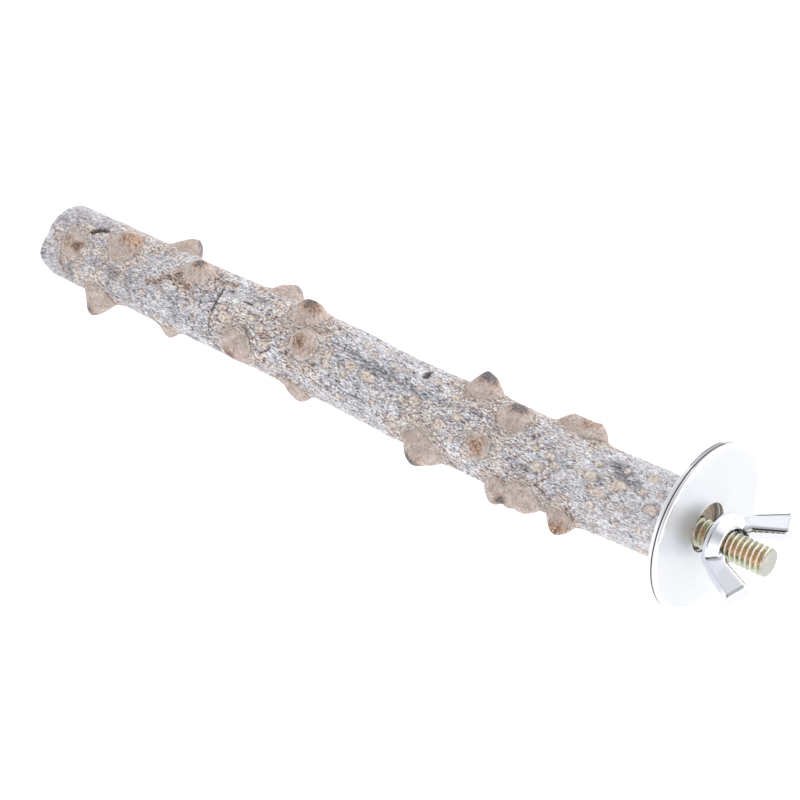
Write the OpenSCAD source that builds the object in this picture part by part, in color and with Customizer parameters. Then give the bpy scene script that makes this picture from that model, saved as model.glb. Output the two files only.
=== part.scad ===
// Thorny branch perch for a bird cage, with its clamp: a hanger bolt in the
// sawn end, two fender washers and a wing nut.
// Millimetres. Origin on the bolt axis in the sawn end face that goes against
// the cage wall. +X runs out along the bolt, -X along the branch, +Z is up.
// Angles round the branch start at +Y and turn towards +Z.

/* [Branch] */
// Length of the wooden branch
branch_len = 182.2; // [173:0.1:260]
// Mean diameter of the branch over its bark
branch_d = 18.2; // [17.4:0.1:24]
// Thickness of the bark
bark_t = 1.2; // [0.6:0.1:2.5]

/* [Thorns] */
// Height of all thorns against the ones measured
thorn_h_scale = 1.0; // [0.6:0.05:1.5]

/* [Hanger bolt] */
// Outside diameter of the machine thread
stud_d = 6.35; // [5:0.01:8]
// Pitch of the machine thread
thread_pitch = 1.27; // [0.8:0.01:1.75]
// How far the bolt stands out of the wood
stud_out = 17.8; // [16.5:0.1:40]
// Length of the wood screw in the branch
screw_in = 32.2; // [20:0.1:45]
// Pitch of the wood screw
screw_pitch = 2.4; // [1.8:0.1:3]

/* [Washers] */
// Outside diameter of both washers
washer_od = 36.8; // [28:0.1:50]
// Diameter of the hole in both washers
washer_hole_d = 10.9; // [9.6:0.1:14]
// Thickness of one washer
washer_t = 0.95; // [0.8:0.01:2.5]
// How far the washers hang to the side, as a share of their play
washer_side = 0.48; // [-0.6:0.01:0.6]
// How far the washers hang up, as a share of their play
washer_up = 0.4; // [-0.6:0.01:0.6]

/* [Wing nut] */
// Gap left between the outer washer and the nut
nut_gap = 3.5; // [0.2:0.05:5]
// Diameter of the hub at its seat
hub_d = 12.8; // [11.5:0.1:16]
// Length of the hub
hub_len = 3.2; // [2.5:0.1:6]
// Radius of the wing tips
wing_r = 11.9; // [9.8:0.1:16]
// Length of the wings from the seat of the nut
wing_len = 12.3; // [10:0.1:18]
// Thickness of the wings
wing_t = 3.5; // [2:0.1:4.5]
// Angle of the wings round the bolt
wing_ang = 20.5; // [0:0.5:180]

/* [Hidden] */
$fn = 96;
seat_gap = 0.05;                              // air between parts that lie on each other
stud_r = stud_d / 2;
kx = branch_len / 182.2;                      // stations along the branch
kr = branch_d / 18.2;                         // radii of the branch
washer_play = washer_hole_d / 2 - stud_r;
washer_dy = washer_play * washer_side;
washer_dz = washer_play * washer_up;
washer_1_x = seat_gap;
washer_2_x = washer_1_x + washer_t + seat_gap;
nut_x = washer_2_x + washer_t + nut_gap;      // seat face of the nut
nut_bore_r = stud_r + 0.075;
screw_r = stud_r * 0.96;                      // crests of the wood screw
screw_root_r = stud_r * 0.70;
shank_in = 8;                                 // plain shank below the sawn face
pilot_gap = 0.03;

// radius of the branch over its bark, u = distance from the clamp end
function branch_r(u) = kr * lookup(u / kx, [[0, 9.0], [22.9, 9.05], [52.9, 9.35], [77.9, 8.9],
    [95.9, 9.1], [136.9, 8.7], [178.4, 8.85], [181.8, 8.8], [182.2, 8.5]]);
branch_u = [for (s = [0, 11, 22.9, 37, 52.9, 65, 77.9, 95.9, 116, 136.9, 158, 178.4, 181.8, 182.2]) s * kx];
branch_n = len(branch_u) - 1;

// the branch over its bark, and the wood without it
module branch_solid(inset = 0)
    rotate([0, -90, 0]) rotate_extrude()
        polygon(concat([[0, 0]], [for (u = branch_u) [branch_r(u) - inset, u]], [[0, branch_len]]));

// ---- hanger bolt -----------------------------------------------------------
// half profile of the wood screw with rings for its thread, grown by g
screw_n = floor((screw_in - shank_in - 6) / screw_pitch);
function screw_half(g) = concat(
    [[0, -screw_in - g], [0.5 + g, -screw_in + 0.3 - g]],
    [for (i = [0 : screw_n - 1], k = [0 : 2])
        let (z = -screw_in + 4 + i * screw_pitch, s = min(1, 0.55 + 0.18 * i))
        k == 0 ? [screw_root_r * s + g, z]
        : k == 1 ? [screw_r * s + g, z + screw_pitch * 0.62]
        : [screw_r * s + g, z + screw_pitch * 0.76]],
    [[screw_root_r + g, -screw_in + 4 + screw_n * screw_pitch], [screw_root_r + g, -shank_in - 0.8],
     [stud_r + g, -shank_in]]);

// The machine thread has rings from the wood to the front of the nut. Its free
// end, where a nut goes on, is a plain cylinder at the outside diameter.
free_x = nut_x + hub_len + 0.25;
ring_n = floor((free_x - 0.2) / thread_pitch);
crest = thread_pitch / 8;
thread_rings = [for (i = [0 : ring_n - 1], k = [0 : 2])
    let (z = free_x - (ring_n - i) * thread_pitch)
    [stud_r - (k == 1 ? thread_pitch * 0.6 : 0), z + k * (thread_pitch - crest) / 2]];

module hanger_bolt()
    color([0.72, 0.60, 0.30])
    rotate([0, 90, 0]) rotate_extrude()
        polygon(concat(screw_half(0), thread_rings,
            [[stud_r, stud_out - 0.5], [stud_r - 0.25, stud_out], [0, stud_out]]));

// ---- wood and bark ---------------------------------------------------------
module wood_core()
    color([0.80, 0.72, 0.60])
    difference() {
        branch_solid(bark_t);
        rotate([0, 90, 0]) rotate_extrude()
            polygon(concat(screw_half(pilot_gap), [[stud_r + pilot_gap, 1], [0, 1]]));
    }

module bark()
    color([0.66, 0.66, 0.67])
    rotate([0, -90, 0]) rotate_extrude()
        polygon(concat([for (u = branch_u) [branch_r(u), u]],
            [for (i = [branch_n : -1 : 0]) [branch_r(branch_u[i]) - bark_t, branch_u[i]]]));

// ---- thorns ----------------------------------------------------------------
// Half profile of one trimmed thorn: a skirt that runs out on the bark, a
// hollow flank and a blunt tip. rb foot radius, h height, rt tip radius,
// d depth of the foot under the bark line
function thorn_half(rb, h, rt, d) = let (hc = h - 0.5 * rt) concat(
    [[0, -d], [rb * 1.06, -d]],
    [for (i = [0 : 4]) [rt + (rb - rt) * pow(1 - i / 4, 1.3), hc * i / 4]],
    [[rt * 0.82, h - 0.22 * rt], [rt * 0.5, h], [0, h]]);

// one thorn on the branch: u from the clamp end, ang round the branch, lean of
// the tip along +X and along the growing angle
module thorn_body(u, ang, rb, h, rt, lean = 0, turn = 0) {
    r = branch_r(u * kx);
    hs = max(h * thorn_h_scale, rt * 0.6);
    d = r - sqrt(r * r - 1.21 * rb * rb) + 0.6;
    rotate([ang, 0, 0]) translate([-u * kx, r, 0])
        rotate([atan2(turn, h), 0, 0]) rotate([0, 0, -atan2(lean, h)]) rotate([-90, 0, 0])
        rotate_extrude() polygon(thorn_half(rb, hs, rt, d));
}

module thorn(u, ang, rb, h, rt, lean = 0, turn = 0)
    color([0.69, 0.64, 0.59])
    difference() {
        thorn_body(u, ang, rb, h, rt, lean, turn);
        branch_solid();
    }

// thorns counted from the far end of the branch
module thorn_01() thorn(172.9, 143, 3.5, 1.7, 1.9, lean = 1.2);
module thorn_02() thorn(165.1, 217, 4.4, 5.2, 1.2, lean = 0.5, turn = 0.5);
module thorn_03() thorn(160.1, 112, 4.3, 3.5, 1.4, lean = 1.2, turn = -0.4);
module thorn_04() thorn(149.9, 42, 4.2, 3.8, 1.6, lean = 1.2);
module thorn_05() thorn(144.9, 236, 2.7, 2.2, 1.3, lean = 0.6);
module thorn_06() thorn(138.1, 99, 3.8, 3.0, 1.4, lean = 0.4);
module thorn_07() thorn(119.9, 182, 4.4, 2.2, 2.4, lean = -0.8, turn = 0.4);
module thorn_08() thorn(118.1, 44, 4.6, 3.3, 1.6, lean = 0.9);
module thorn_09() thorn(106.1, 87, 4.3, 4.0, 1.3, lean = 0.2);
module thorn_10() thorn(104.1, 222, 3.8, 2.3, 1.6, lean = 1.6);
module thorn_11() thorn(101.7, 135, 3.4, 2.7, 0.9, lean = -0.9);
module thorn_12() thorn(64.9, 196, 4.8, 3.7, 2.1, turn = 0.6);
module thorn_13() thorn(57.3, 74, 4.4, 4.7, 0.9);
module thorn_14() thorn(50.2, 154, 2.7, 1.6, 0.8, lean = 0.1);
module thorn_15() thorn(46.1, 99, 3.9, 3.7, 1.2, lean = 0.4);

// two thorns grown into one knob
module thorn_16()
    color([0.69, 0.64, 0.59])
    difference() {
        union() {
            thorn_body(44.7, 207, 3.4, 3.8, 1.6, lean = 0.9);
            thorn_body(37.5, 203, 4.3, 2.9, 2.2, lean = 0.2, turn = 0.3);
        }
        branch_solid();
    }

module thorn_17()
    color([0.69, 0.64, 0.59])
    difference() {
        union() {
            thorn_body(35.5, 57, 3.7, 3.6, 1.6, lean = -0.3);
            thorn_body(30.6, 52, 3.9, 3.4, 1.8, lean = 0.8);
        }
        branch_solid();
    }

module thorn_18() thorn(28.2, 212, 3.5, 4.0, 1.4, lean = 0.2, turn = 0.3);

// thorns round the back, out of sight in the one view there is
module thorn_back_1() thorn(174.9, 345, 3.6, 3.0, 1.4, lean = 0.5);
module thorn_back_2() thorn(152.9, 300, 4.0, 3.4, 1.5, lean = 0.8);
module thorn_back_3() thorn(130.9, 340, 3.8, 3.2, 1.4, lean = 0.3);
module thorn_back_4() thorn(114.9, 290, 4.0, 3.0, 1.7, lean = 0.6);
module thorn_back_5() thorn(90.9, 325, 3.4, 3.2, 1.2);
module thorn_back_6() thorn(67.9, 350, 3.8, 3.4, 1.4, lean = 0.4);
module thorn_back_7() thorn(51.9, 295, 3.6, 3.0, 1.5, lean = -0.3);
module thorn_back_8() thorn(34.9, 335, 3.8, 3.2, 1.3, lean = 0.5);
module thorn_back_9() thorn(13.9, 300, 3.2, 3.0, 1.2, lean = -0.5);

// ---- washers ---------------------------------------------------------------
module washer(x)
    translate([x, washer_dy, washer_dz]) rotate([0, 90, 0]) rotate_extrude()
        polygon([[washer_hole_d / 2, 0], [washer_od / 2 - 0.12, 0], [washer_od / 2, 0.12],
            [washer_od / 2, washer_t - 0.5], [washer_od / 2 - 0.12, washer_t - 0.26],
            [washer_od / 2 - 0.4, washer_t - 0.07], [washer_od / 2 - 0.8, washer_t],
            [washer_hole_d / 2, washer_t]]);

module inner_washer() color([0.84, 0.86, 0.89]) washer(washer_1_x);
module outer_washer() color([0.86, 0.88, 0.91]) washer(washer_2_x);

// ---- wing nut --------------------------------------------------------------
// outline of one wing, x along the bolt from the seat, y out from the axis
wing_in = nut_bore_r + 0.95;
wing_outline = [[0.35, wing_in], [0.35, hub_d / 2 - 0.55], [wing_len * 0.26, wing_r * 0.664],
    [wing_len * 0.76, wing_r * 0.962], [wing_len * 0.825, wing_r], [wing_len * 0.865, wing_r * 0.955],
    [wing_len * 0.996, wing_r * 0.70], [wing_len, wing_r * 0.65], [wing_len * 0.967, wing_r * 0.625],
    [wing_len * 0.43, max(wing_r * 0.378, wing_in)], [wing_len * 0.38, wing_in]];

module wing_nut()
    color([0.83, 0.85, 0.90])
    translate([nut_x, 0, 0]) {
        rotate([0, 90, 0]) rotate_extrude()
            polygon([[nut_bore_r, 0], [hub_d / 2 - 0.2, 0], [hub_d / 2, 0.25],
                [hub_d / 2 - 0.1, 0.9], [hub_d / 2 * 0.79, hub_len],
                [nut_bore_r + 0.5, hub_len], [nut_bore_r, hub_len - 0.5]]);
        for (s = [0, 180]) rotate([wing_ang + s, 0, 0])
            linear_extrude(height = wing_t, center = true) polygon(wing_outline);
    }

bark();
wood_core();
thorn_01();
thorn_02();
thorn_03();
thorn_04();
thorn_05();
thorn_06();
thorn_07();
thorn_08();
thorn_09();
thorn_10();
thorn_11();
thorn_12();
thorn_13();
thorn_14();
thorn_15();
thorn_16();
thorn_17();
thorn_18();
thorn_back_1();
thorn_back_2();
thorn_back_3();
thorn_back_4();
thorn_back_5();
thorn_back_6();
thorn_back_7();
thorn_back_8();
thorn_back_9();
hanger_bolt();
inner_washer();
outer_washer();
wing_nut();
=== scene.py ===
import math
import bpy
import bmesh
import numpy as np
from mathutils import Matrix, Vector


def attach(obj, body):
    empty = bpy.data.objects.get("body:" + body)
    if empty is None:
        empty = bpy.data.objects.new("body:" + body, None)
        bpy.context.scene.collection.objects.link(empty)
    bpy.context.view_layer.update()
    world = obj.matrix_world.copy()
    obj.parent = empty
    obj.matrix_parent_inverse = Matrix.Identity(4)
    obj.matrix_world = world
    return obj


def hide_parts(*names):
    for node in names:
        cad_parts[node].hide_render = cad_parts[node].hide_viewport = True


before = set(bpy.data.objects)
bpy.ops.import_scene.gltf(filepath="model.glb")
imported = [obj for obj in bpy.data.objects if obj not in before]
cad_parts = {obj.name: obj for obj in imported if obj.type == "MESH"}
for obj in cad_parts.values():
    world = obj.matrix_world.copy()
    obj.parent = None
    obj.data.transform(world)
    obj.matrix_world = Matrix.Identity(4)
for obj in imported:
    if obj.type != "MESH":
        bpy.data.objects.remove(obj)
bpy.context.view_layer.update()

PI = math.pi
RNG = np.random.RandomState(7)

# ----------------------------------------------------------------------------
# Noise on arrays of points (millimetres)
# ----------------------------------------------------------------------------
_PERM = {}
_g = np.random.RandomState(11).normal(size=(64, 3))
_GRAD = _g / np.linalg.norm(_g, axis=1)[:, None]


def perlin(P, seed=0):
    """Gradient noise in about -1..1 at the points P (N, 3)."""
    if seed not in _PERM:
        p = np.random.RandomState(1000 + seed).permutation(256)
        _PERM[seed] = np.concatenate([p, p, p])
    p = _PERM[seed]
    i = np.floor(P).astype(np.int64)
    f = P - i
    i &= 255
    u = f * f * f * (f * (f * 6 - 15) + 10)

    def g(a, b, c):
        h = p[p[p[(i[:, 0] + a) & 255] + ((i[:, 1] + b) & 255)] + ((i[:, 2] + c) & 255)] & 63
        G = _GRAD[h]
        return G[:, 0] * (f[:, 0] - a) + G[:, 1] * (f[:, 1] - b) + G[:, 2] * (f[:, 2] - c)

    x00 = g(0, 0, 0) + u[:, 0] * (g(1, 0, 0) - g(0, 0, 0))
    x10 = g(0, 1, 0) + u[:, 0] * (g(1, 1, 0) - g(0, 1, 0))
    x01 = g(0, 0, 1) + u[:, 0] * (g(1, 0, 1) - g(0, 0, 1))
    x11 = g(0, 1, 1) + u[:, 0] * (g(1, 1, 1) - g(0, 1, 1))
    y0 = x00 + u[:, 1] * (x10 - x00)
    y1 = x01 + u[:, 1] * (x11 - x01)
    return 1.6 * (y0 + u[:, 2] * (y1 - y0))


def fbm(P, octaves=3, seed=0, gain=0.5):
    out, amp = 0.0, 1.0
    for k in range(octaves):
        out = out + amp * perlin(P * (2.0 ** k) + 17.3 * k, seed + k)
        amp *= gain
    return out


def smooth(e0, e1, x):
    t = np.clip((x - e0) / (e1 - e0), 0, 1)
    return t * t * (3 - 2 * t)


# ----------------------------------------------------------------------------
# Mesh helpers (points in millimetres, objects in metres)
# ----------------------------------------------------------------------------
def make_object(name, V, F, smooth_all=True, sharp=None):
    me = bpy.data.meshes.new(name)
    me.from_pydata((np.asarray(V) * 0.001).tolist(), [], F)
    me.validate()
    if smooth_all:
        me.shade_smooth()
    if sharp is not None:
        me.set_sharp_from_angle(angle=math.radians(sharp))
    me.update()
    ob = bpy.data.objects.new(name, me)
    bpy.context.scene.collection.objects.link(ob)
    return ob


def weld(ob, dist=1e-6):
    bm = bmesh.new()
    bm.from_mesh(ob.data)
    bmesh.ops.remove_doubles(bm, verts=bm.verts, dist=dist)
    bmesh.ops.dissolve_degenerate(bm, edges=bm.edges, dist=dist * 0.5)
    bmesh.ops.recalc_face_normals(bm, faces=bm.faces)
    bm.to_mesh(ob.data)
    bm.free()
    ob.data.update()


def set_attr(ob, name, values):
    a = ob.data.attributes.new(name, "FLOAT", "POINT")
    a.data.foreach_set("value", np.asarray(values, np.float32))


def stand_for(ob, node, body):
    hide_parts(node)
    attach(ob, body)


def ring_faces(n_rows, m):
    """Quads of a tube of n_rows rings of m points each."""
    F = []
    for i in range(n_rows - 1):
        a, b = i * m, (i + 1) * m
        for j in range(m):
            k = (j + 1) % m
            F.append((a + j, a + k, b + k, b + j))
    return F


# ----------------------------------------------------------------------------
# The branch: radius and bend along its length, as in the frame
# ----------------------------------------------------------------------------
LEN = 182.2
R_X = [-182.2, -178.4, -136.9, -95.9, -77.9, -52.9, -22.9, 0.0]
R_R = [8.75, 8.85, 8.7, 9.1, 8.9, 9.35, 9.05, 9.0]
BEND_X = [-182.9, -122.9, -95.9, -85.9, -73.9, -22.9, -10.9, -0.9]
BEND_S = [-0.4, -0.35, -0.3, 0.05, 0.45, 0.6, 0.25, 0.1]
BARK_T = 1.2


def soft_interp(x, xs, ys, w=4.0):
    """Piecewise linear table smoothed over 2 w."""
    x = np.asarray(x, float)
    return sum(np.interp(x + d * w, xs, ys) for d in (-1, -0.5, 0, 0.5, 1)) / 5.0


def radius(x):
    return soft_interp(x, R_X, R_R)


def bend(x):
    s = soft_interp(x, BEND_X, BEND_S, 3.0)
    return -0.66 * s, -0.75 * s


# Thorns: node, x, angle, then cones (du, dv, foot radius, height, lean u, lean v,
# tip radius), u along +X and v round the branch in the growing angle.
# look: how dark grey the tip is, how brown, and where the stain sits (u, v)
THORNS = [
    ("thorn_01", -172.9, 143, [(0, 0, 3.6, 2.0, 0.6, 0, 1.9)], dict(scar=(1.9, 0.0, 1.7, 1.3), brown=0.7, side=(-1.8, -0.2), rings=0.7)),
    ("thorn_02", -165.1, 217, [(0, 0, 4.5, 5.2, 0.5, 0.5, 1.2)], dict(grey=0.8, size=1.25, side=(-1.2, 0.1), brown=0.4, wide=1.3)),
    ("thorn_03", -160.1, 112, [(0, 0, 4.5, 3.5, 1.2, -0.4, 1.4)], dict(brown=1.0, side=(0.9, -1.0), wide=1.3, rings=0.5)),
    ("thorn_04", -149.9, 42, [(0, 0, 4.2, 3.8, 1.2, 0, 1.6)], dict(grey=0.6, side=(1.6, 0.0), size=0.8)),
    ("thorn_05", -144.9, 236, [(0, 0, 2.9, 2.2, 0.6, 0, 1.3)], dict()),
    ("thorn_06", -138.1, 99, [(0, 0, 4.0, 3.0, 0.4, 0, 1.4)], dict(grey=0.9, brown=0.9, side=(-0.1, -0.5), size=0.8)),
    ("thorn_07", -119.9, 182, [(0, 0, 4.6, 2.4, -0.8, 0.4, 2.4)], dict(brown=0.9, crust=1.0, grey=0.5, side=(0.0, 1.4))),
    ("thorn_08", -118.1, 44, [(0, 0, 4.6, 3.3, 0.9, 0, 1.6)], dict(grey=0.45, side=(1.2, 0.3))),
    ("thorn_09", -106.1, 88, [(0, 0, 4.7, 4.0, 0.2, 0, 1.3)], dict(grey=0.75, brown=0.9, side=(0.3, -0.1), size=0.85, wide=1.3)),
    ("thorn_10", -104.1, 222, [(0, 0, 3.9, 2.3, 1.8, 0, 1.6)], dict(crack=1)),
    ("thorn_11", -101.7, 134, [(0, 0, 3.9, 2.7, -0.9, 0, 0.9)], dict(grey=0.3, brown=1.0, side=(0.4, 0.0), rings=1.0)),
    ("thorn_12", -65.4, 201, [(0, 0, 5.3, 4.4, -0.3, 0.6, 2.2)], dict(grey=1.0, side=(-1.1, 1.2), size=1.5, brown=0.4, wide=1.5)),
    ("thorn_13", -57.3, 74, [(0, 0, 4.5, 4.7, 0, 0, 0.8)], dict(grey=1.0, side=(0.3, -0.1), size=1.2, brown=0.5, wide=1.4)),
    ("thorn_14", -50.2, 154, [(0, 0, 3.0, 1.7, 0.1, 0, 0.8)], dict(brown=1.0, grey=0.15, crust=0.7, side=(-0.4, 0.3), wide=1.5)),
    ("thorn_15", -46.1, 99, [(0, 0, 4.1, 3.7, 0.4, 0, 1.2)], dict(grey=0.95, side=(0.2, -0.9), size=1.15, brown=0.5, wide=1.4)),
    ("thorn_16", -41.2, 206, [(-3.5, 0.5, 3.8, 4.0, 0.4, 0.2, 1.9), (0.2, 0.8, 3.6, 3.3, 0.2, 0.3, 1.9), (3.5, -0.3, 4.8, 3.2, -0.1, 0.4, 2.4)],
     dict(grey=1.0, side=(-1.0, 0.3), size=0.85, brown=0.5, wide=1.3)),
    ("thorn_17", -33.0, 54.5, [(-0.7, 0.0, 3.7, 3.45, 0.9, 0, 0.45, 2.85, 0.0)],
     dict(brown=0.6, side=(0.3, 0.3), wide=1.5)),
    ("thorn_18", -28.4, 212, [(0, 0, 3.8, 4.0, 0.2, 0.3, 1.4)], dict(brown=1.0, side=(0.3, 0.0), wide=1.35)),
    ("thorn_back_1", -174.9, 345, [(0, 0, 3.7, 3.0, 0.5, 0, 1.4)], dict(grey=0.6)),
    ("thorn_back_2", -152.9, 300, [(0, 0, 4.1, 3.4, 0.8, 0, 1.5)], dict(brown=0.5)),
    ("thorn_back_3", -130.9, 340, [(0, 0, 3.9, 3.2, 0.3, 0, 1.4)], dict(grey=0.8)),
    ("thorn_back_4", -114.9, 290, [(0, 0, 4.1, 3.0, 0.6, 0, 1.7)], dict(grey=0.2)),
    ("thorn_back_5", -90.9, 325, [(0, 0, 3.5, 3.2, 0, 0, 1.2)], dict(brown=0.8, grey=0.4)),
    ("thorn_back_6", -67.9, 350, [(0, 0, 3.9, 3.4, 0.4, 0, 1.4)], dict(grey=0.7)),
    ("thorn_back_7", -51.9, 295, [(0, 0, 3.7, 3.0, -0.3, 0, 1.5)], dict(brown=0.4)),
    ("thorn_back_8", -34.9, 335, [(0, 0, 3.9, 3.2, 0.5, 0, 1.3)], dict(grey=0.9)),
    ("thorn_back_9", -13.9, 300, [(0, 0, 3.3, 3.0, -0.5, 0, 1.2)], dict(brown=0.6)),
]

# tan cork patches: x, angle, half length, half width
PATCHES = [
    (-118.9, 110, 1.0, 0.6), (-117.9, 132, 1.0, 0.7), (-114.9, 140, 1.2, 0.8), (-112.4, 160, 1.5, 0.9),
    (-128.4, 155, 0.8, 0.6), (-144.9, 155, 0.7, 0.5), (-136.9, 160, 0.6, 0.5), (-126.4, 134, 1.0, 0.7),
    (-124.9, 148, 2.0, 1.3), (-94.9, 135, 0.9, 1.5), (-94.2, 148, 0.9, 0.6), (-88.4, 134, 1.5, 0.85),
    (-88.9, 150, 0.9, 0.6), (-83.1, 136, 2.2, 1.0), (-84.9, 103, 0.7, 0.7), (-87.9, 95, 0.8, 0.6),
    (-87.4, 88, 0.6, 0.5), (-75.9, 100, 0.8, 0.5), (-77.4, 105, 0.9, 0.5), (-79.4, 105, 0.6, 0.4),
    (-82.9, 83, 0.9, 0.5), (-69.4, 137, 1.4, 1.0), (-72.7, 143, 0.8, 0.6), (-67.6, 97, 0.8, 0.7),
    (-69.9, 117, 0.8, 0.5), (-89.4, 182, 0.8, 0.6), (-73.4, 186, 1.1, 0.8), (-61.4, 152, 1.2, 1.2),
    (-60.9, 110, 0.8, 0.7), (-57.9, 134, 1.3, 0.8), (-37.4, 127, 0.7, 0.6), (-33.4, 128, 1.1, 0.7),
    (-28.2, 115, 0.6, 0.4), (-31.4, 137, 1.0, 0.7), (-35.2, 148, 1.5, 1.0), (-45.4, 147, 1.0, 0.7),
    (-22.9, 109, 1.0, 0.6), (-22.9, 130, 1.7, 0.9), (-15.9, 127, 1.8, 1.1), (-17.6, 134, 0.8, 0.8),
    (-20.2, 146, 2.4, 0.9), (-20.6, 165, 1.1, 0.8), (-16.3, 103, 0.7, 0.8), (-10.4, 97, 1.2, 1.0),
    (-10.2, 122, 0.8, 0.8), (-6.9, 140, 1.4, 1.0), (-13.6, 153, 0.6, 0.6), (-13.1, 177, 0.5, 0.5),
    (-8.2, 170, 0.6, 0.5), (-6.6, 118, 0.6, 0.6), (-149.9, 166, 0.8, 0.5), (-163.9, 168, 0.9, 0.5),
    (-133.9, 172, 0.7, 0.5), (-106.9, 186, 0.9, 0.5), (-79.9, 166, 0.7, 0.4), (-42.4, 143, 0.6, 0.4),
]
# soot-grey smudges: x, angle, half length, half width, strength
SMUDGES = [
    (-88.9, 117, 3.0, 1.1, 0.8), (-83.9, 119, 4.0, 1.3, 0.85), (-77.9, 122, 4.0, 1.2, 0.8), (-70.9, 125, 4.0, 1.0, 0.6),
    (-62.9, 122, 4.0, 1.0, 0.55), (-56.9, 116, 3.5, 0.9, 0.5), (-92.4, 122, 1.5, 0.8, 0.5), (-18.6, 98, 2.8, 1.3, 1.0),
    (-16.4, 109, 2.8, 1.5, 1.0), (-13.9, 117, 2.8, 1.2, 0.9), (-20.4, 131, 1.5, 0.9, 0.6), (-37.9, 157, 3.0, 1.0, 0.7),
    (-71.9, 157, 1.5, 1.3, 0.5), (-94.9, 182, 1.2, 0.5, 0.6), (-82.9, 187, 1.8, 1.0, 0.35), (-160.9, 177, 1.2, 2.6, 0.65),
    (-159.8, 158, 1.6, 2.8, 0.85), (-154.4, 165, 1.2, 2.9, 0.8), (-153.9, 187, 1.0, 0.8, 0.7), (-149.9, 187, 0.6, 1.2, 0.45),
    (-173.4, 186, 1.3, 3.2, 1.0), (-139.8, 176, 1.1, 2.6, 0.7), (-168.9, 176, 0.8, 0.4, 0.8), (-172.9, 98, 3.5, 0.9, 0.4), (-118.9, 97, 3.0, 0.5, 0.5),
    (-124.9, 110, 2.0, 0.6, 0.5), (-108.9, 300, 3.0, 1.2, 0.6), (-60.9, 318, 4.0, 1.3, 0.7), (-146.9, 330, 3.0, 1.0, 0.6),
    (-24.9, 300, 4.0, 1.2, 0.6), (-80.9, 20, 5.0, 1.2, 0.6), (-135.9, 15, 3.0, 1.0, 0.5), (-40.9, 15, 3.0, 1.1, 0.5),
]
# cracks: points (x, angle), width, depth, brown share
CRACKS = [
    ([(-170.4, 112), (-169.1, 104), (-167.7, 101)], 0.85, 0.45, 0.0),
    ([(-142.7, 114), (-141.1, 118), (-142.4, 124), (-144.4, 128), (-145.7, 134), (-146.9, 142), (-148.9, 146)], 0.5, 0.35, 0.9),
    ([(-141.9, 124), (-139.9, 127), (-137.9, 130)], 0.6, 0.35, 0.9),
    ([(-133.2, 97), (-130.9, 100), (-129.4, 94), (-127.7, 95)], 0.6, 0.3, 0.8),
    ([(-129.1, 109), (-128.9, 125), (-129, 145)], 0.34, 0.3, 0.1),
    ([(-129, 150), (-128.8, 180)], 0.2, 0.2, 0.2),
    ([(-122.4, 114), (-119.7, 113)], 0.25, 0.2, 0.0),
    ([(-119.2, 127), (-116.2, 125)], 0.16, 0.15, 0.1),
    ([(-119.9, 147), (-117.9, 151), (-116.2, 160)], 0.18, 0.2, 0.3),
    ([(-113.2, 176), (-111.7, 170), (-110.1, 161)], 0.16, 0.2, 0.2),
    ([(-99.7, 98), (-99.2, 104), (-99.9, 110), (-101.1, 113)], 0.3, 0.25, 0.8),
    ([(-34.9, 171), (-33.4, 175), (-31.7, 179)], 0.2, 0.2, 0.4),
    ([(-26.3, 188), (-25.5, 193), (-24.9, 199)], 0.45, 0.4, 0.7),
    ([(-39.8, 112), (-39.1, 116)], 0.35, 0.2, 0.5),
    ([(-92.3, 112), (-91.9, 119)], 0.25, 0.2, 0.1),
    ([(-89.2, 64), (-88.4, 72)], 0.35, 0.35, 0.3),
    ([(-97.5, 85), (-97.1, 89)], 0.4, 0.25, 0.2),
    ([(-176.4, 172), (-175.9, 186), (-174.9, 200)], 0.4, 0.3, 0.7),
    ([(-105.9, 154), (-105.3, 156)], 0.35, 0.2, 0.1),
    ([(-97.8, 157), (-97.2, 153)], 0.35, 0.2, 0.2),
    ([(-104.2, 174), (-103.7, 177)], 0.45, 0.2, 0.9),
    ([(-113.3, 149), (-111.3, 150)], 0.5, 0.2, 0.9),
    ([(-71.2, 86), (-71.1, 97)], 0.75, 0.4, 0.05),
    ([(-90.9, 161), (-88.4, 165)], 0.16, 0.15, 0.1),
    ([(-150.9, 280), (-146.9, 283), (-140.9, 281)], 0.4, 0.3, 0.5),
    ([(-75.9, 300), (-70.9, 303), (-66.9, 301)], 0.3, 0.3, 0.3),
    ([(-28.9, 280), (-24.9, 276), (-19.9, 279)], 0.4, 0.3, 0.6),
    ([(-98.9, 25), (-93.9, 22), (-88.9, 24)], 0.35, 0.3, 0.4),
    ([(-162.9, 20), (-158.9, 24), (-155.9, 21)], 0.35, 0.3, 0.4),
]


def surface_distance(x, th, x0, th0):
    """(u, v) in mm from the place x0, th0 (radians) over the bark."""
    d = np.mod(th - th0 + PI, 2 * PI) - PI
    return x - x0, d * radius(x0)


def cone_height(u, v, cones, ext=1.0):
    """Height over the bark of a group of thorn cones, and how far in they are."""
    best = None
    for du, dv, rb, h, lu, lv, rt, *ridge in cones:
        uu, vv = u - du, v - dv
        if ridge:  # a long thorn: the cone drawn out along the branch
            half, tilt = ridge
            on = np.clip(uu, -half, half)
            uu, h = uu - on, h + tilt * on / half
        z = np.zeros_like(uu)
        for _ in range(6):  # the lean moves the axis with height
            k = np.clip(z / h, 0, 1) ** 1.15
            q = np.hypot(uu - lu * k, vv - lv * k) / rb
            e = 0.42 * rt / rb
            qs = (np.sqrt(q * q + e * e) - e) / (math.sqrt(1 + e * e) - e)
            z_in = h * (0.55 * (1 - np.minimum(qs, 1) ** 1.05) + 0.45 * (1 - np.minimum(qs, 1) ** 2.4))
            z = np.where(qs < 1, z_in, -(qs - 1) * rb * ext)
        best = z if best is None else np.maximum(best, z) + 0.25 * np.exp(-np.abs(best - z) / 0.5)
    return best


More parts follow.
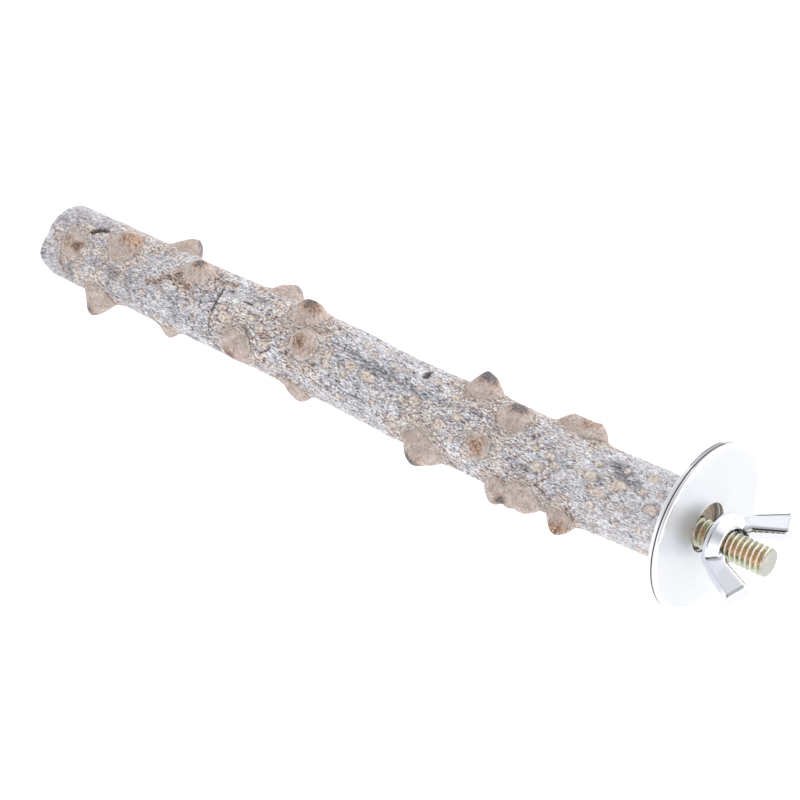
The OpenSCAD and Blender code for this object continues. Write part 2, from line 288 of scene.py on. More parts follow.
# ----------------------------------------------------------------------------
# Bark: one fine skin, displaced, with masks for its colours
# ----------------------------------------------------------------------------
def build_bark():
    NX, NT = 728, 244
    xs = np.linspace(-LEN, 0.0, NX)
    th = np.arange(NT) * 2 * PI / NT
    X, T = np.meshgrid(xs, th, indexing="ij")
    X, T = X.ravel(), T.ravel()
    R0 = radius(X)
    cy, cz = bend(X)
    P = np.stack([X, cy + R0 * np.cos(T), cz + R0 * np.sin(T)], -1)

    skin = np.zeros_like(X)
    flare = np.zeros_like(X)
    ringing = np.zeros_like(X)
    wrinkle = np.zeros_like(X)
    warmth = np.zeros_like(X)
    painted_foot_shade = np.zeros_like(X)
    wob = fbm(P * [0.5, 0.5, 0.5], 2, 40)
    for name, x0, ang, cones, look in THORNS:
        u, v = surface_distance(X, T, x0, math.radians(ang))
        near = np.hypot(u, v) < 14
        zc = cone_height(u[near], v[near], cones) + 0.12 * wob[near]
        # painted shade at the foot of each thorn, where the cone meets the bark
        painted_foot_shade[near] = np.maximum(painted_foot_shade[near], np.exp(-((zc + 0.12) / 0.20) ** 2))
        for du, dv, rb, h, lu, lv, rt, *ridge in cones:
            uu = u - du
            if ridge:
                uu = uu - np.clip(uu, -ridge[0], ridge[0])
            rho = np.hypot(uu, v - dv)
            q = rho / rb + 0.10 * wob
            wide = 1.45 + 0.35 * look.get("rings", 0)
            skin = np.where(near, np.maximum(skin, 1 - smooth(1.08, wide, q)), skin)
            flare = np.where(near, np.maximum(flare, 0.42 * (1 - smooth(0.9, 1.42, q))), flare)
            w = np.exp(-((q - 1.22) / 0.22) ** 2)
            warmth = np.where(near, np.maximum(warmth, 1 - smooth(1.0, 2.9, q)), warmth)
            wave = np.sin(rho * 2 * PI / 0.85 + 5.0 * wob)
            ringing = np.where(near, ringing + w * wave, ringing)
            wrinkle = np.where(near, np.maximum(wrinkle, w * smooth(0.35, 0.95, -wave)), wrinkle)

    tan = np.zeros_like(X)
    rim = np.zeros_like(X)
    pts = list(PATCHES)
    r = np.random.RandomState(3)
    while len(pts) < 190:  # the rest of the branch, and small ones between
        x, a = r.uniform(-179, -3), r.uniform(0, 360)
        seen = 62 < a < 205
        if seen and r.rand() < 0.55:
            continue
        s = r.uniform(0.3, 0.55) if seen else r.uniform(0.4, 1.2)
        pts.append((x, a, s * r.uniform(1.0, 1.9), s * r.uniform(0.6, 1.0)))
    n1 = perlin(P * [1.1, 1.3, 1.3], 51)
    for x0, ang, a, b in pts:
        sel = np.abs(X - x0) < a * 1.8
        u, v = surface_distance(X[sel], T[sel], x0, math.radians(ang))
        d = (np.abs(u / a) ** 2.6 + np.abs(v / b) ** 2.6) ** (1 / 2.6) + 0.30 * n1[sel]
        tan[sel] = np.maximum(tan[sel], 1 - smooth(0.82, 1.12, d))
        rim[sel] = np.maximum(rim[sel], np.exp(-((d - 1.12) / 0.16) ** 2))
    rim *= (1 - tan) * (1 - 0.6 * skin)
    tan *= 1 - 0.7 * skin

    dark = np.zeros_like(X)
    n2 = fbm(P * [0.45, 1.1, 1.1], 3, 61)
    for x0, ang, a, b, k in SMUDGES:
        sel = np.abs(X - x0) < a * 2.0
        u, v = surface_distance(X[sel], T[sel], x0, math.radians(ang))
        d = np.hypot(u / a, v / b) + 0.35 * n2[sel]
        dark[sel] = np.maximum(dark[sel], k * (1 - smooth(0.35, 1.35, d)))
    dark = dark * (1 - 0.85 * tan)

    crack = np.zeros_like(X)
    brown = np.zeros_like(X)
    depth = np.zeros_like(X)
    n3 = perlin(P * [0.9, 0.9, 0.9], 71)
    n4 = perlin(P * [2.1, 2.1, 2.1], 72)
    for line, w, dep, br in CRACKS:
        lo, hi = min(p[0] for p in line) - 2, max(p[0] for p in line) + 2
        sel = (X > lo) & (X < hi)
        dist = np.full(sel.sum(), 1e9)
        Xs, Ts, Rs = X[sel], T[sel], R0[sel]
        for (xa, aa), (xb, ab) in zip(line, line[1:]):
            ta = math.radians(aa)
            pv = (np.mod(Ts - ta + PI, 2 * PI) - PI) * Rs
            pu = Xs - xa
            du, dv = xb - xa, math.radians(ab - aa) * 9.0
            t = np.clip((pu * du + pv * dv) / (du * du + dv * dv), 0, 1)
            dist = np.minimum(dist, np.hypot(pu - t * du, pv - t * dv))
        m = 1 - smooth(0.45, 1.2, dist / w + 0.75 * n3[sel] + 0.5 * n4[sel])
        crack[sel] = np.maximum(crack[sel], m * (1 - 0.75 * br))
        brown[sel] = np.maximum(brown[sel], br * (1 - smooth(0.9, 3.0, dist / w + 1.1 * n3[sel] + 0.5 * n4[sel])))
        depth[sel] = np.maximum(depth[sel], dep * m)

    # scaly relief: long plates along the grain, pits and grit
    rough = 1 - 0.72 * skin
    plates = fbm(P * [0.32, 1.15, 1.15], 3, 81)
    grit = perlin(P * [1.1, 2.6, 2.6], 91)
    pits = smooth(0.45, 0.9, perlin(P * [0.9, 1.7, 1.7], 95))
    fine = rough * (0.10 * plates + 0.07 * grit - 0.13 * pits)
    H = (0.18 * fbm(P * [0.05, 0.11, 0.11], 2, 101) + fine
         + 0.10 * tan * (1 + 0.5 * grit) + flare + 0.055 * ringing - depth)
    # the far end swells at the lower front, with a nick over it
    far_v = (np.mod(T - math.radians(176) + PI, 2 * PI) - PI) * R0
    H += 1.3 * np.exp(-((X + 181.8) / 3.6) ** 2 - (far_v / 2.6) ** 2)
    far_v = (np.mod(T - math.radians(143) + PI, 2 * PI) - PI) * R0
    H -= 0.5 * np.exp(-((X + 182.0) / 1.6) ** 2 - (far_v / 0.9) ** 2)
    # the saw takes the bark off a little at both ends
    H -= 0.35 * (1 - smooth(0.0, 0.7, X + LEN)) + 0.12 * (1 - smooth(0.0, 0.5, -X))

    Rn = R0 + H
    outer = np.stack([X, cy + Rn * np.cos(T), cz + Rn * np.sin(T)], -1)
    # close it: end faces in to the wood, and the inner wall on the wood
    ri = R0 - BARK_T + 0.0
    rows = [outer.reshape(NX, NT, 3)]

    def inner_ring(i, f):
        """Ring i of the outer grid moved the share f in to the wood."""
        o = rows[0][i]
        c = np.stack([np.full(NT, xs[i]), (radius(xs[i]) - BARK_T) * np.cos(th),
                      (radius(xs[i]) - BARK_T) * np.sin(th)], -1)
        return o * (1 - f) + c * f

    far = [inner_ring(0, f) for f in (0.12, 0.35, 0.65, 1.0)]
    near_ = [inner_ring(NX - 1, f) for f in (0.12, 0.35, 0.65, 1.0)]
    wobble = perlin(np.concatenate(far) * 1.3, 111).reshape(4, NT)
    for k in range(4):
        far[k][:, 0] += 0.06 * wobble[k] * (1 if k < 3 else 0)
    inner_x = np.linspace(-LEN, 0, 60)[1:-1]
    inner = [np.stack([np.full(NT, x), (radius(x) - BARK_T) * np.cos(th), (radius(x) - BARK_T) * np.sin(th)], -1)
             for x in inner_x]
    # order: far inner .. far outer, outer grid, near outer .. near inner, inner wall back
    rings = far[::-1] + list(rows[0]) + near_ + inner[::-1]
    V = np.concatenate(rings)
    n = len(rings)
    F = ring_faces(n, NT)
    a, b = (n - 1) * NT, 0
    F += [(a + j, a + (j + 1) % NT, b + (j + 1) % NT, b + j) for j in range(NT)]

    def spread(values, ends, wall=0.0):
        v = values.reshape(NX, NT)
        return np.concatenate([np.full(4 * NT, ends), v.ravel(), np.full(4 * NT, ends),
                               np.full(len(inner) * NT, wall)])

    ob = make_object("bark_skin", V, F)
    set_attr(ob, "tan", spread(tan, 0.0))
    set_attr(ob, "dark", spread(dark, 0.0))
    set_attr(ob, "crack", spread(crack, 0.0))
    set_attr(ob, "brown", spread(brown, 0.0))
    set_attr(ob, "skin", spread(skin, 0.0))
    set_attr(ob, "rim", spread(rim, 0.0))
    set_attr(ob, "warmth", spread(warmth, 0.0))
    set_attr(ob, "wrinkle", spread(wrinkle, 0.0))
    set_attr(ob, "painted_foot_shade", spread(painted_foot_shade, 0.0))
    set_attr(ob, "relief", spread(np.clip(fine / 0.12, -1, 1), 0.0))
    set_attr(ob, "cut", spread(np.zeros_like(X), 1.0, 1.0))
    return ob


# ----------------------------------------------------------------------------
# Thorns: each its own closed solid on the bark
# ----------------------------------------------------------------------------
def build_thorn(index, name, x0, ang, cones, look):
    M, K = 84, 40
    t0 = math.radians(ang)
    R = float(radius(x0))
    cy, cz = (float(c) for c in bend(x0))
    # outline: how far each ray goes until the cone is under the bark
    phi = np.arange(M) * 2 * PI / M
    edge = np.zeros(M)
    ray = np.linspace(0.3, 1.0, 160) * (max(math.hypot(c[0], c[1]) + c[2] + (c[7] if len(c) > 7 else 0) for c in cones) * 1.22)
    for j in range(M):
        z = cone_height(ray * math.cos(phi[j]), ray * math.sin(phi[j]), cones)
        under = np.nonzero(z < -0.42)[0]
        edge[j] = ray[under[0]] if len(under) else ray[-1]
    wob = perlin(np.stack([np.cos(phi) * 1.3, np.sin(phi) * 1.3, np.full(M, index * 3.7)], -1), 120)
    edge *= 1 + 0.05 * wob
    # polar grid round the tip, denser at the tip
    main = max(cones, key=lambda c: c[3])
    cu, cv = main[0] * 0.5, main[1] * 0.5
    if len(cones) == 1:
        cu, cv = main[4], main[5]
    rows_u, rows_v = [], []
    for k in range(K + 1):
        f = (k / K) ** 0.85
        eu, ev = edge * np.cos(phi), edge * np.sin(phi)
        pu, pv = cu + (eu - cu) * f, cv + (ev - cv) * f
        if k == 0:
            pu, pv = np.full(M, cu), np.full(M, cv)
        rows_u.append(pu)
        rows_v.append(pv)
    U, Vv = np.concatenate(rows_u), np.concatenate(rows_v)
    Q = np.stack([U, Vv, np.full_like(U, index * 9.1)], -1)
    dU = 0.34 * perlin(Q * 0.38, 130)
    dV = 0.34 * perlin(Q * 0.38, 131)
    z = cone_height(U * 1.0 + dU, Vv * 1.0 + dV, cones)
    hmax = max(c[3] for c in cones)
    rho = np.hypot(U, Vv)
    top = np.clip(z / hmax, 0, 1)
    # growth ridges round the cone, fine ribs and, on some, a crust
    wave = np.sin(z * 2 * PI / 0.80 + 4.0 * perlin(Q * 0.45, 132))
    low = 1 - smooth(0.15 + 0.6 * look.get("rings", 0), 0.50 + 0.7 * look.get("rings", 0), top)
    low = low * smooth(-0.35, 0.35, perlin(Q * 0.33, 137) + 1.2 * look.get("rings", 0))
    ridges = 0.05 * wave * low
    groove = smooth(0.6, 0.98, -wave) * low
    ribs = 0.09 * perlin(Q * 0.9, 133) + 0.03 * perlin(Q * 2.4, 134)
    crust = look.get("crust", 0) * 0.16 * np.maximum(0, perlin(Q * 1.5, 135)) * smooth(0.3, 0.7, top)
    fade = smooth(-0.5, 0.3, z)
    z = z + fade * (ridges + ribs + crust)
    scar = np.zeros_like(z)
    if "scar" in look:
        su, sv, sa, sb = look["scar"]
        d = np.hypot((U - su) / sa, (Vv - sv) / sb) + 0.25 * perlin(Q * 1.2, 136)
        scar = 1 - smooth(0.6, 1.15, d)
        z = z - 0.75 * scar * fade
    if "crack" in look:
        d = np.abs((Vv - 0.4) + 0.3 * (U - 1.0)) / 0.16 + np.maximum(0, np.abs(U - 1.0) - 1.1) * 4
        scar = np.maximum(scar, 0.9 * (1 - smooth(0.5, 1.4, d)))
        z = z - 0.25 * scar * fade
    su, sv = look.get("side", (0.0, 0.0))
    n = perlin(Q * 0.75, 140) + 0.5 * perlin(Q * 1.9, 141)
    # the stain sits round the highest point, moved to one side
    if len(cones) == 1:
        pu, pv = main[4] + su, main[5] + sv
        span = main[2]
    else:
        pu, pv = su, sv
        span = main[2] * 0.8
    d = np.hypot(U - pu, Vv - pv) / span + 0.16 * n
    gs = look.get("size", 1.0)
    grey = look.get("grey", 0) * (1 - smooth(0.20 * gs, 0.52 * gs, d)) * smooth(0.02, 0.3, top + 0.1)
    bw = look.get("wide", 1.0)
    brown = look.get("brown", 0) * (1 - smooth(0.22 * bw, 0.62 * bw, d + 0.1 * perlin(Q * 1.4, 142)))
    brown = np.maximum(brown, 0.9 * scar)
    grey = np.maximum(grey, 0.35 * scar)

    # place it: sideways straight, up from the round bark
    s = np.clip(Vv, -R * 0.96, R * 0.96)
    up = np.sqrt(R * R - s * s) + z
    n_, t_ = np.array([math.cos(t0), math.sin(t0)]), np.array([-math.sin(t0), math.cos(t0)])
    yz = up[:, None] * n_ + s[:, None] * t_
    P = np.stack([x0 + U, cy + yz[:, 0], cz + yz[:, 1]], -1)
    # closed underneath: a second, lower skirt and a middle point
    base = P[K * M:(K + 1) * M]
    centre = np.array([x0, cy + (R - 1.1) * n_[0], cz + (R - 1.1) * n_[1]])
    skirt = base * 0.9 + centre * 0.1
    skirt[:, 1:] -= 0.55 * n_
    V = np.concatenate([P[:1], P[M:(K + 1) * M], skirt, centre[None]])
    F = []
    idx = lambda k, j: 1 + (k - 1) * M + j % M
    for j in range(M):
        F.append((0, idx(1, j), idx(1, j + 1)))
    for k in range(1, K + 1):
        for j in range(M):
            F.append((idx(k, j), idx(k + 1, j), idx(k + 1, j + 1), idx(k, j + 1)))
    last = 1 + (K + 1) * M
    for j in range(M):
        F.append((idx(K + 1, j), last, idx(K + 1, j + 1)))

    def spread(a, low_value=0.0):
        return np.concatenate([a[:1], a[M:(K + 1) * M], np.full(M + 1, low_value)])

    ob = make_object(name + "_cone", V, F)
    weld(ob, 1e-7)
    if len(ob.data.vertices) == len(V):
        set_attr(ob, "grey", spread(grey))
        set_attr(ob, "brown", spread(brown))
        set_attr(ob, "groove", spread(groove))
        # foot: a band low on the cone that carries the painted shade at its foot
        set_attr(ob, "foot", spread(np.exp(-((z - 0.20) / 0.20) ** 2)))
        set_attr(ob, "edge", spread(1 - smooth(-0.15, 0.38, z), 1.0))
    stand_for(ob, name, "perch")
    return ob


# ----------------------------------------------------------------------------
# Wood heart with its sawn ends and the bore for the bolt
# ----------------------------------------------------------------------------
def build_wood():
    M = 160
    th = np.arange(M) * 2 * PI / M
    prof = []  # (x, r) from the middle of the far end, over the wall, to the bore's blind end
    rf = float(radius(-LEN)) - BARK_T - 0.01
    for r in np.linspace(0.0, rf, 26)[1:]:
        prof.append((-LEN, r))
    for x in np.linspace(-LEN, 0, 40)[1:-1]:
        prof.append((x, float(radius(x)) - BARK_T - 0.01))
    rn = float(radius(0.0)) - BARK_T - 0.01
    for r in np.linspace(rn, 3.22, 16):
        prof.append((0.0, r))
    for x, r in ((-4.0, 3.22), (-8.2, 3.22), (-9.0, 3.12), (-32.1, 3.12)):
        prof.append((x, r))
    rings = []
    for k, (x, r) in enumerate(prof):
        ring = np.stack([np.full(M, x), r * np.cos(th), r * np.sin(th)], -1)
        if x <= -LEN + 1e-6 or (x > -1e-6 and r > 3.3):
            # saw marks across, and rings of growth that stand a little proud
            y, z = ring[:, 1], ring[:, 2]
            saw = 0.035 * np.sin((z * 0.9 + 0.3 * y) * 2 * PI / 0.9 + 0.5 * np.sin(y))
            grow = 0.025 * np.sin(r * 2 * PI / 1.35)
            inward = 1 if x < -1 else -1
            ring[:, 0] += inward * (0.05 + saw + grow) * (1 if r < rf - 0.05 else 0.3)
        rings.append(ring)
    V = np.concatenate([[[-LEN + 0.05, 0, 0]]] + rings + [[[-32.3, 0, 0]]])
    F = [(0, 1 + (j + 1) % M, 1 + j) for j in range(M)]
    F += [tuple(1 + i for i in f) for f in ring_faces(len(rings), M)]
    a, last = 1 + (len(rings) - 1) * M, len(V) - 1
    F += [(a + j, a + (j + 1) % M, last) for j in range(M)]
    ob = make_object("wood_heart", V, F, sharp=50)
    weld(ob, 1e-8)
    ob.data.set_sharp_from_angle(angle=math.radians(50))
    stand_for(ob, "wood_core", "perch")
    return ob


# ----------------------------------------------------------------------------
# Hanger bolt: rolled machine thread with a chamfered end, wood screw behind
# ----------------------------------------------------------------------------
STUD_R, STUD_END, PITCH = 3.175, 17.8, 1.27


def helix_tube(x0, x1, pitch, profile, r0, r1, limit, M=96):
    """Rings of a threaded tube from x0 to x1. profile: (share of pitch, radius);
    the turns rise along +X as a right-hand thread."""
    nb = len(profile)
    turns = int(math.ceil((x1 - x0) / pitch)) + 3
    rows = turns * nb
    th = np.arange(M) * 2 * PI / M
    fr = np.array([p[0] for p in profile])
    rr = np.array([p[1] for p in profile])
    V = np.zeros((rows, M, 3))
    for i in range(rows):
        turn, k = divmod(i, nb)
        x = x0 - 1.5 * pitch + (turn + fr[k]) * pitch + th / (2 * PI) * pitch
        r = np.minimum(np.full(M, rr[k]), limit(x))
        r = np.where(x <= x0, r0, np.where(x >= x1, r1, r))
        x = np.clip(x, x0, x1)
        V[i] = np.stack([x, r * np.cos(th), r * np.sin(th)], -1)
    F = []
    for i in range(rows - 1):
        for j in range(M - 1):
            F.append((i * M + j, i * M + j + 1, (i + 1) * M + j + 1, (i + 1) * M + j))
        # the last column meets the first one a whole turn further on
        if i + nb + 1 < rows:
            F.append((i * M + M - 1, (i + nb) * M, (i + nb + 1) * M, (i + 1) * M + M - 1))
    return V.reshape(-1, 3), F


def build_bolt():
    M = 96
    th = np.arange(M) * 2 * PI / M
    crest = [(0.0, 3.172), (0.05, 3.165), (0.10, 3.10), (0.26, 2.80), (0.41, 2.50), (0.46, 2.43),
             (0.54, 2.43), (0.59, 2.50), (0.74, 2.80), (0.90, 3.10), (0.95, 3.165)]

    def nose(x):
        return np.where(x > STUD_END - 0.55, 3.175 - (x - STUD_END + 0.55) * 0.5, 9.0)

    Vt, Ft = helix_tube(-6.5, STUD_END - 0.02, PITCH, crest, 2.9, 2.905, nose, M)
    wood = [(0.0, 2.98), (0.06, 2.98), (0.22, 2.35), (0.5, 2.18), (0.80, 2.30), (0.94, 2.9)]

    def point(x):
        return np.where(x < -24.9, np.maximum(0.6, 3.0 + (x + 24.9) * 0.36), 9.0)

    Vw, Fw = helix_tube(-31.5, -9.0, 2.4, wood, 0.6, 2.5, point, M)
    rings = []
    # end face with a slight dish, out to the chamfer
    for r, x in ((0.8, -0.14), (1.6, -0.10), (2.3, -0.04), (2.75, -0.005), (2.86, 0.0), (2.905, -0.02)):
        rings.append(np.stack([np.full(M, STUD_END + x), r * np.cos(th), r * np.sin(th)], -1))
    shank = []
    for x, r in ((-6.5, 2.9), (-7.0, 2.95), (-8.4, 2.95), (-9.0, 2.5)):
        shank.append(np.stack([np.full(M, x), r * np.cos(th), r * np.sin(th)], -1))
    V, F = [], []

    def add(v, f):
        o = sum(len(a) for a in V)
        V.append(v)
        F.extend([tuple(o + i for i in q) for q in f])

    cap = np.concatenate([[[STUD_END - 0.15, 0, 0]], np.concatenate(rings)])
    add(cap, [(0, 1 + j, 1 + (j + 1) % M) for j in range(M)]
        + [tuple(1 + i for i in f) for f in ring_faces(len(rings), M)])
    add(Vt, Ft)
    add(np.concatenate(shank), ring_faces(len(shank), M))
    add(Vw, Fw)
    tip = np.concatenate([[[-32.15, 0, 0]], np.stack([np.full(M, -31.5), 0.6 * np.cos(th), 0.6 * np.sin(th)], -1)])
    add(tip, [(0, 1 + (j + 1) % M, 1 + j) for j in range(M)])
    ob = make_object("bolt_thread", np.concatenate(V), F)
    weld(ob, 2e-6)
    ob.data.set_sharp_from_angle(angle=math.radians(42))
    stand_for(ob, "hanger_bolt", "perch")
    return ob


# ----------------------------------------------------------------------------
# Washers: punched discs, rolled over at one edge, a little out of flat
# ----------------------------------------------------------------------------
W_HOLE, W_R, W_T = 5.45, 18.4, 0.95
W_Y, W_Z = 2.275 * 0.48, 2.275 * 0.40


def build_washer(name, node, body, x0, seed, roll, roll_deep, back):
    """roll: how far in from the rim the front edge starts to round over."""
    M = 288
    th = np.arange(M) * 2 * PI / M
    lo = W_HOLE + 0.22
    prof = [(W_T, lo + (W_R - roll - lo) * t) for t in np.linspace(0, 1, 16)]
    for a in np.linspace(0, PI / 2, 9)[1:]:  # front edge rolled over
        prof.append((W_T - roll_deep * (1 - math.cos(a)), W_R - roll * (1 - math.sin(a))))
    for a in np.linspace(0, PI / 2, 5):
        prof.append((back * (1 - math.sin(a)), W_R - back * (1 - math.cos(a))))
    prof += [(0.0, W_HOLE + 0.1 + (W_R - back - W_HOLE - 0.1) * t) for t in np.linspace(1, 0, 16)[1:]]
    prof += [(0.03, W_HOLE + 0.03), (0.12, W_HOLE), (W_T * 0.45, W_HOLE), (W_T - 0.24, W_HOLE),
             (W_T - 0.10, W_HOLE + 0.05), (W_T - 0.02, W_HOLE + 0.14)]
    P = []
    for p in prof:
        if not P or math.hypot(p[0] - P[-1][0], p[1] - P[-1][1]) > 1e-4:
            P.append(p)
    rings = []
    for x, r in P:
        y, z = r * np.cos(th), r * np.sin(th)
        ring = np.stack([np.full(M, x0 + x), y, z], -1)
        k = smooth(W_HOLE + 0.5, W_R * 0.6, np.array([r]))[0] * (1 - smooth(W_R - 2.0, W_R - 0.2, np.array([r]))[0])
        ring[:, 0] += 0.010 * k * perlin(np.stack([y * 0.10, z * 0.10, np.full(M, seed * 5.0)], -1), 150 + seed)
        rings.append(ring)
    V = np.concatenate(rings)
    V[:, 1] += W_Y
    V[:, 2] += W_Z
    n = len(rings)
    F = ring_faces(n, M)
    a = (n - 1) * M
    F += [(a + j, a + (j + 1) % M, (j + 1) % M, j) for j in range(M)]
    ob = make_object(name, V, F)
    weld(ob, 1e-7)
    ob.data.set_sharp_from_angle(angle=math.radians(38))
    stand_for(ob, node, body)
    return ob


# ----------------------------------------------------------------------------
# Wing nut: smooth union of hub and wings, meshed from its distance field
# ----------------------------------------------------------------------------
NUT_X, WING_ANG = 5.50, 20.5
WING = [(-0.2, 2.0), (0.30, 6.1), (2.95, 8.2), (10.45, 12.55), (12.75, 7.55), (5.30, 4.45), (3.4, 2.0)]


def inset(poly, d):
    """The outline moved in by d on every side."""
    n = len(poly)
    area = sum(poly[i][0] * poly[(i + 1) % n][1] - poly[(i + 1) % n][0] * poly[i][1] for i in range(n))
    sg = 1 if area > 0 else -1
    lines = []
    for i in range(n):
        (ax, ay), (bx, by) = poly[i], poly[(i + 1) % n]
        ln = math.hypot(bx - ax, by - ay)
        nx, ny = -(by - ay) / ln * sg, (bx - ax) / ln * sg
        lines.append((nx, ny, nx * ax + ny * ay + d))
    out = []
    for i in range(n):
        a1, b1, c1 = lines[i - 1]
        a2, b2, c2 = lines[i]
        det = a1 * b2 - a2 * b1
        out.append(((c1 * b2 - c2 * b1) / det, (a1 * c2 - a2 * c1) / det))
    return out


WING_IN = inset(WING, 0.95)


def polygon_sdf(px, py, poly):
    d = np.full(px.shape, 1e9)
    inside = np.zeros(px.shape, bool)
    n = len(poly)
    for i in range(n):
        ax, ay = poly[i]
        bx, by = poly[(i + 1) % n]
        ex, ey = bx - ax, by - ay
        wx, wy = px - ax, py - ay
        t = np.clip((wx * ex + wy * ey) / (ex * ex + ey * ey), 0, 1)
        d = np.minimum(d, (wx - ex * t) ** 2 + (wy - ey * t) ** 2)
        cross = ((ay > py) != (by > py)) & (px < (bx - ax) * (py - ay) / ((by - ay) if by != ay else 1e-9) + ax)
        inside ^= cross
    return np.sqrt(d) * np.where(inside, -1.0, 1.0)


def smin(a, b, k):
    h = np.clip(0.5 + 0.5 * (b - a) / k, 0, 1)
    return b * (1 - h) + a * h - k * h * (1 - h)


def nut_sdf(P):
    """P in the nut's own axes: x along the bolt, y along the wings, z through them."""
    x, y, z = P[:, 0], P[:, 1], P[:, 2]
    r = np.hypot(y, z)
    rd = 0.30
    hub = polygon_sdf(x, r, [(rd, -1.0), (rd, 6.4 - rd - 0.1), (0.95, 6.35 - rd), (3.2 - rd, 5.05 - rd * 0.8),
                             (3.2 - rd, -1.0)]) - rd
    ay = np.abs(y)
    rc, rw = 0.95, 0.90  # round the outline's corners, then its edges
    w2 = polygon_sdf(x, ay, WING_IN) - rc
    half = 1.78 - 0.012 * np.maximum(0, ay - 6.0)
    w2, dz = w2 + rw, np.abs(z) - (half - rw)
    wing = np.minimum(np.maximum(w2, dz), 0) + np.hypot(np.maximum(w2, 0), np.maximum(dz, 0)) - rw
    body = smin(hub, wing, 0.9)
    bore = np.maximum(3.25 - r, -1e9)
    cone_f = 3.28 + np.clip(x - 2.2, 0, 1.0) * 0.62
    cone_b = 3.25 + np.clip(0.45 - x, 0, 0.5) * 0.9
    bore = np.maximum(cone_f, cone_b) - r
    return np.maximum(body, bore * 0.8)


def build_nut():
    h = 0.23
    gx = np.arange(-0.7, 13.5, h)
    gy = np.arange(-12.6, 12.6 + h, h)
    gz = np.arange(-7.1, 7.1 + h, h)
    G = np.stack(np.meshgrid(gx, gy, gz, indexing="ij"), -1)
    D = nut_sdf(G.reshape(-1, 3)).reshape(G.shape[:3])
    S = D < 0
    nx, ny, nz = S.shape
    corners = [(i, j, k) for i in (0, 1) for j in (0, 1) for k in (0, 1)]
    edges = [(a, b) for a in range(8) for b in range(a + 1, 8)
             if sum(abs(np.subtract(corners[a], corners[b]))) == 1]
    cell = np.zeros((nx - 1, ny - 1, nz - 1), int)
    for c in corners:
        cell += S[c[0]:nx - 1 + c[0], c[1]:ny - 1 + c[1], c[2]:nz - 1 + c[2]]
    act = np.argwhere((cell > 0) & (cell < 8))
    acc = np.zeros((len(act), 3))
    cnt = np.zeros(len(act))
    val = [D[act[:, 0] + c[0], act[:, 1] + c[1], act[:, 2] + c[2]] for c in corners]
    for a, b in edges:
        va, vb = val[a], val[b]
        hit = (va < 0) != (vb < 0)
        t = np.where(hit, va / np.where(hit, va - vb, 1), 0)
        p = np.array(corners[a]) + t[:, None] * (np.array(corners[b]) - np.array(corners[a]))
        acc += np.where(hit[:, None], p, 0)
        cnt += hit
    V = (act + acc / cnt[:, None]) * h + [gx[0], gy[0], gz[0]]
    index = -np.ones(cell.shape, int)
    index[act[:, 0], act[:, 1], act[:, 2]] = np.arange(len(act))
    F = []
    for ax in range(3):
        o = [0, 0, 0]
        o[ax] = 1
        A = S[:nx - o[0], :ny - o[1], :nz - o[2]]
        B = S[o[0]:, o[1]:, o[2]:]
        e = np.argwhere(A != B)
        b, c = [(1, 2), (2, 0), (0, 1)][ax]
        ok = (e[:, b] > 0) & (e[:, c] > 0)
        e = e[ok]
        q = []
        for db, dc in ((1, 1), (0, 1), (0, 0), (1, 0)):
            s = e.copy()
            s[:, b] -= db
            s[:, c] -= dc
            q.append(index[s[:, 0], s[:, 1], s[:, 2]])
        q = np.stack(q, -1)
        flip = ~A[e[:, 0], e[:, 1], e[:, 2]]
        q[flip] = q[flip][:, ::-1]
        F += q.tolist()
    # settle the points on the surface
    for _ in range(5):
        d = nut_sdf(V)
        g = np.zeros_like(V)
        for ax in range(3):
            s = np.zeros(3)
            s[ax] = 0.02
            g[:, ax] = (nut_sdf(V + s) - nut_sdf(V - s)) / 0.04
        g /= np.maximum((g * g).sum(1), 0.25)[:, None]
        V = V - 0.8 * np.clip(d, -0.15, 0.15)[:, None] * g
    a = math.radians(WING_ANG)
    y = V[:, 1] * math.cos(a) - V[:, 2] * math.sin(a)
    z = V[:, 1] * math.sin(a) + V[:, 2] * math.cos(a)
    V = np.stack([V[:, 0] + NUT_X, y, z], -1)
    ob = make_object("nut_winged", V, F)
    weld(ob, 1e-7)
    ob.data.shade_smooth()
    stand_for(ob, "wing_nut", "wing_nut")
    return ob


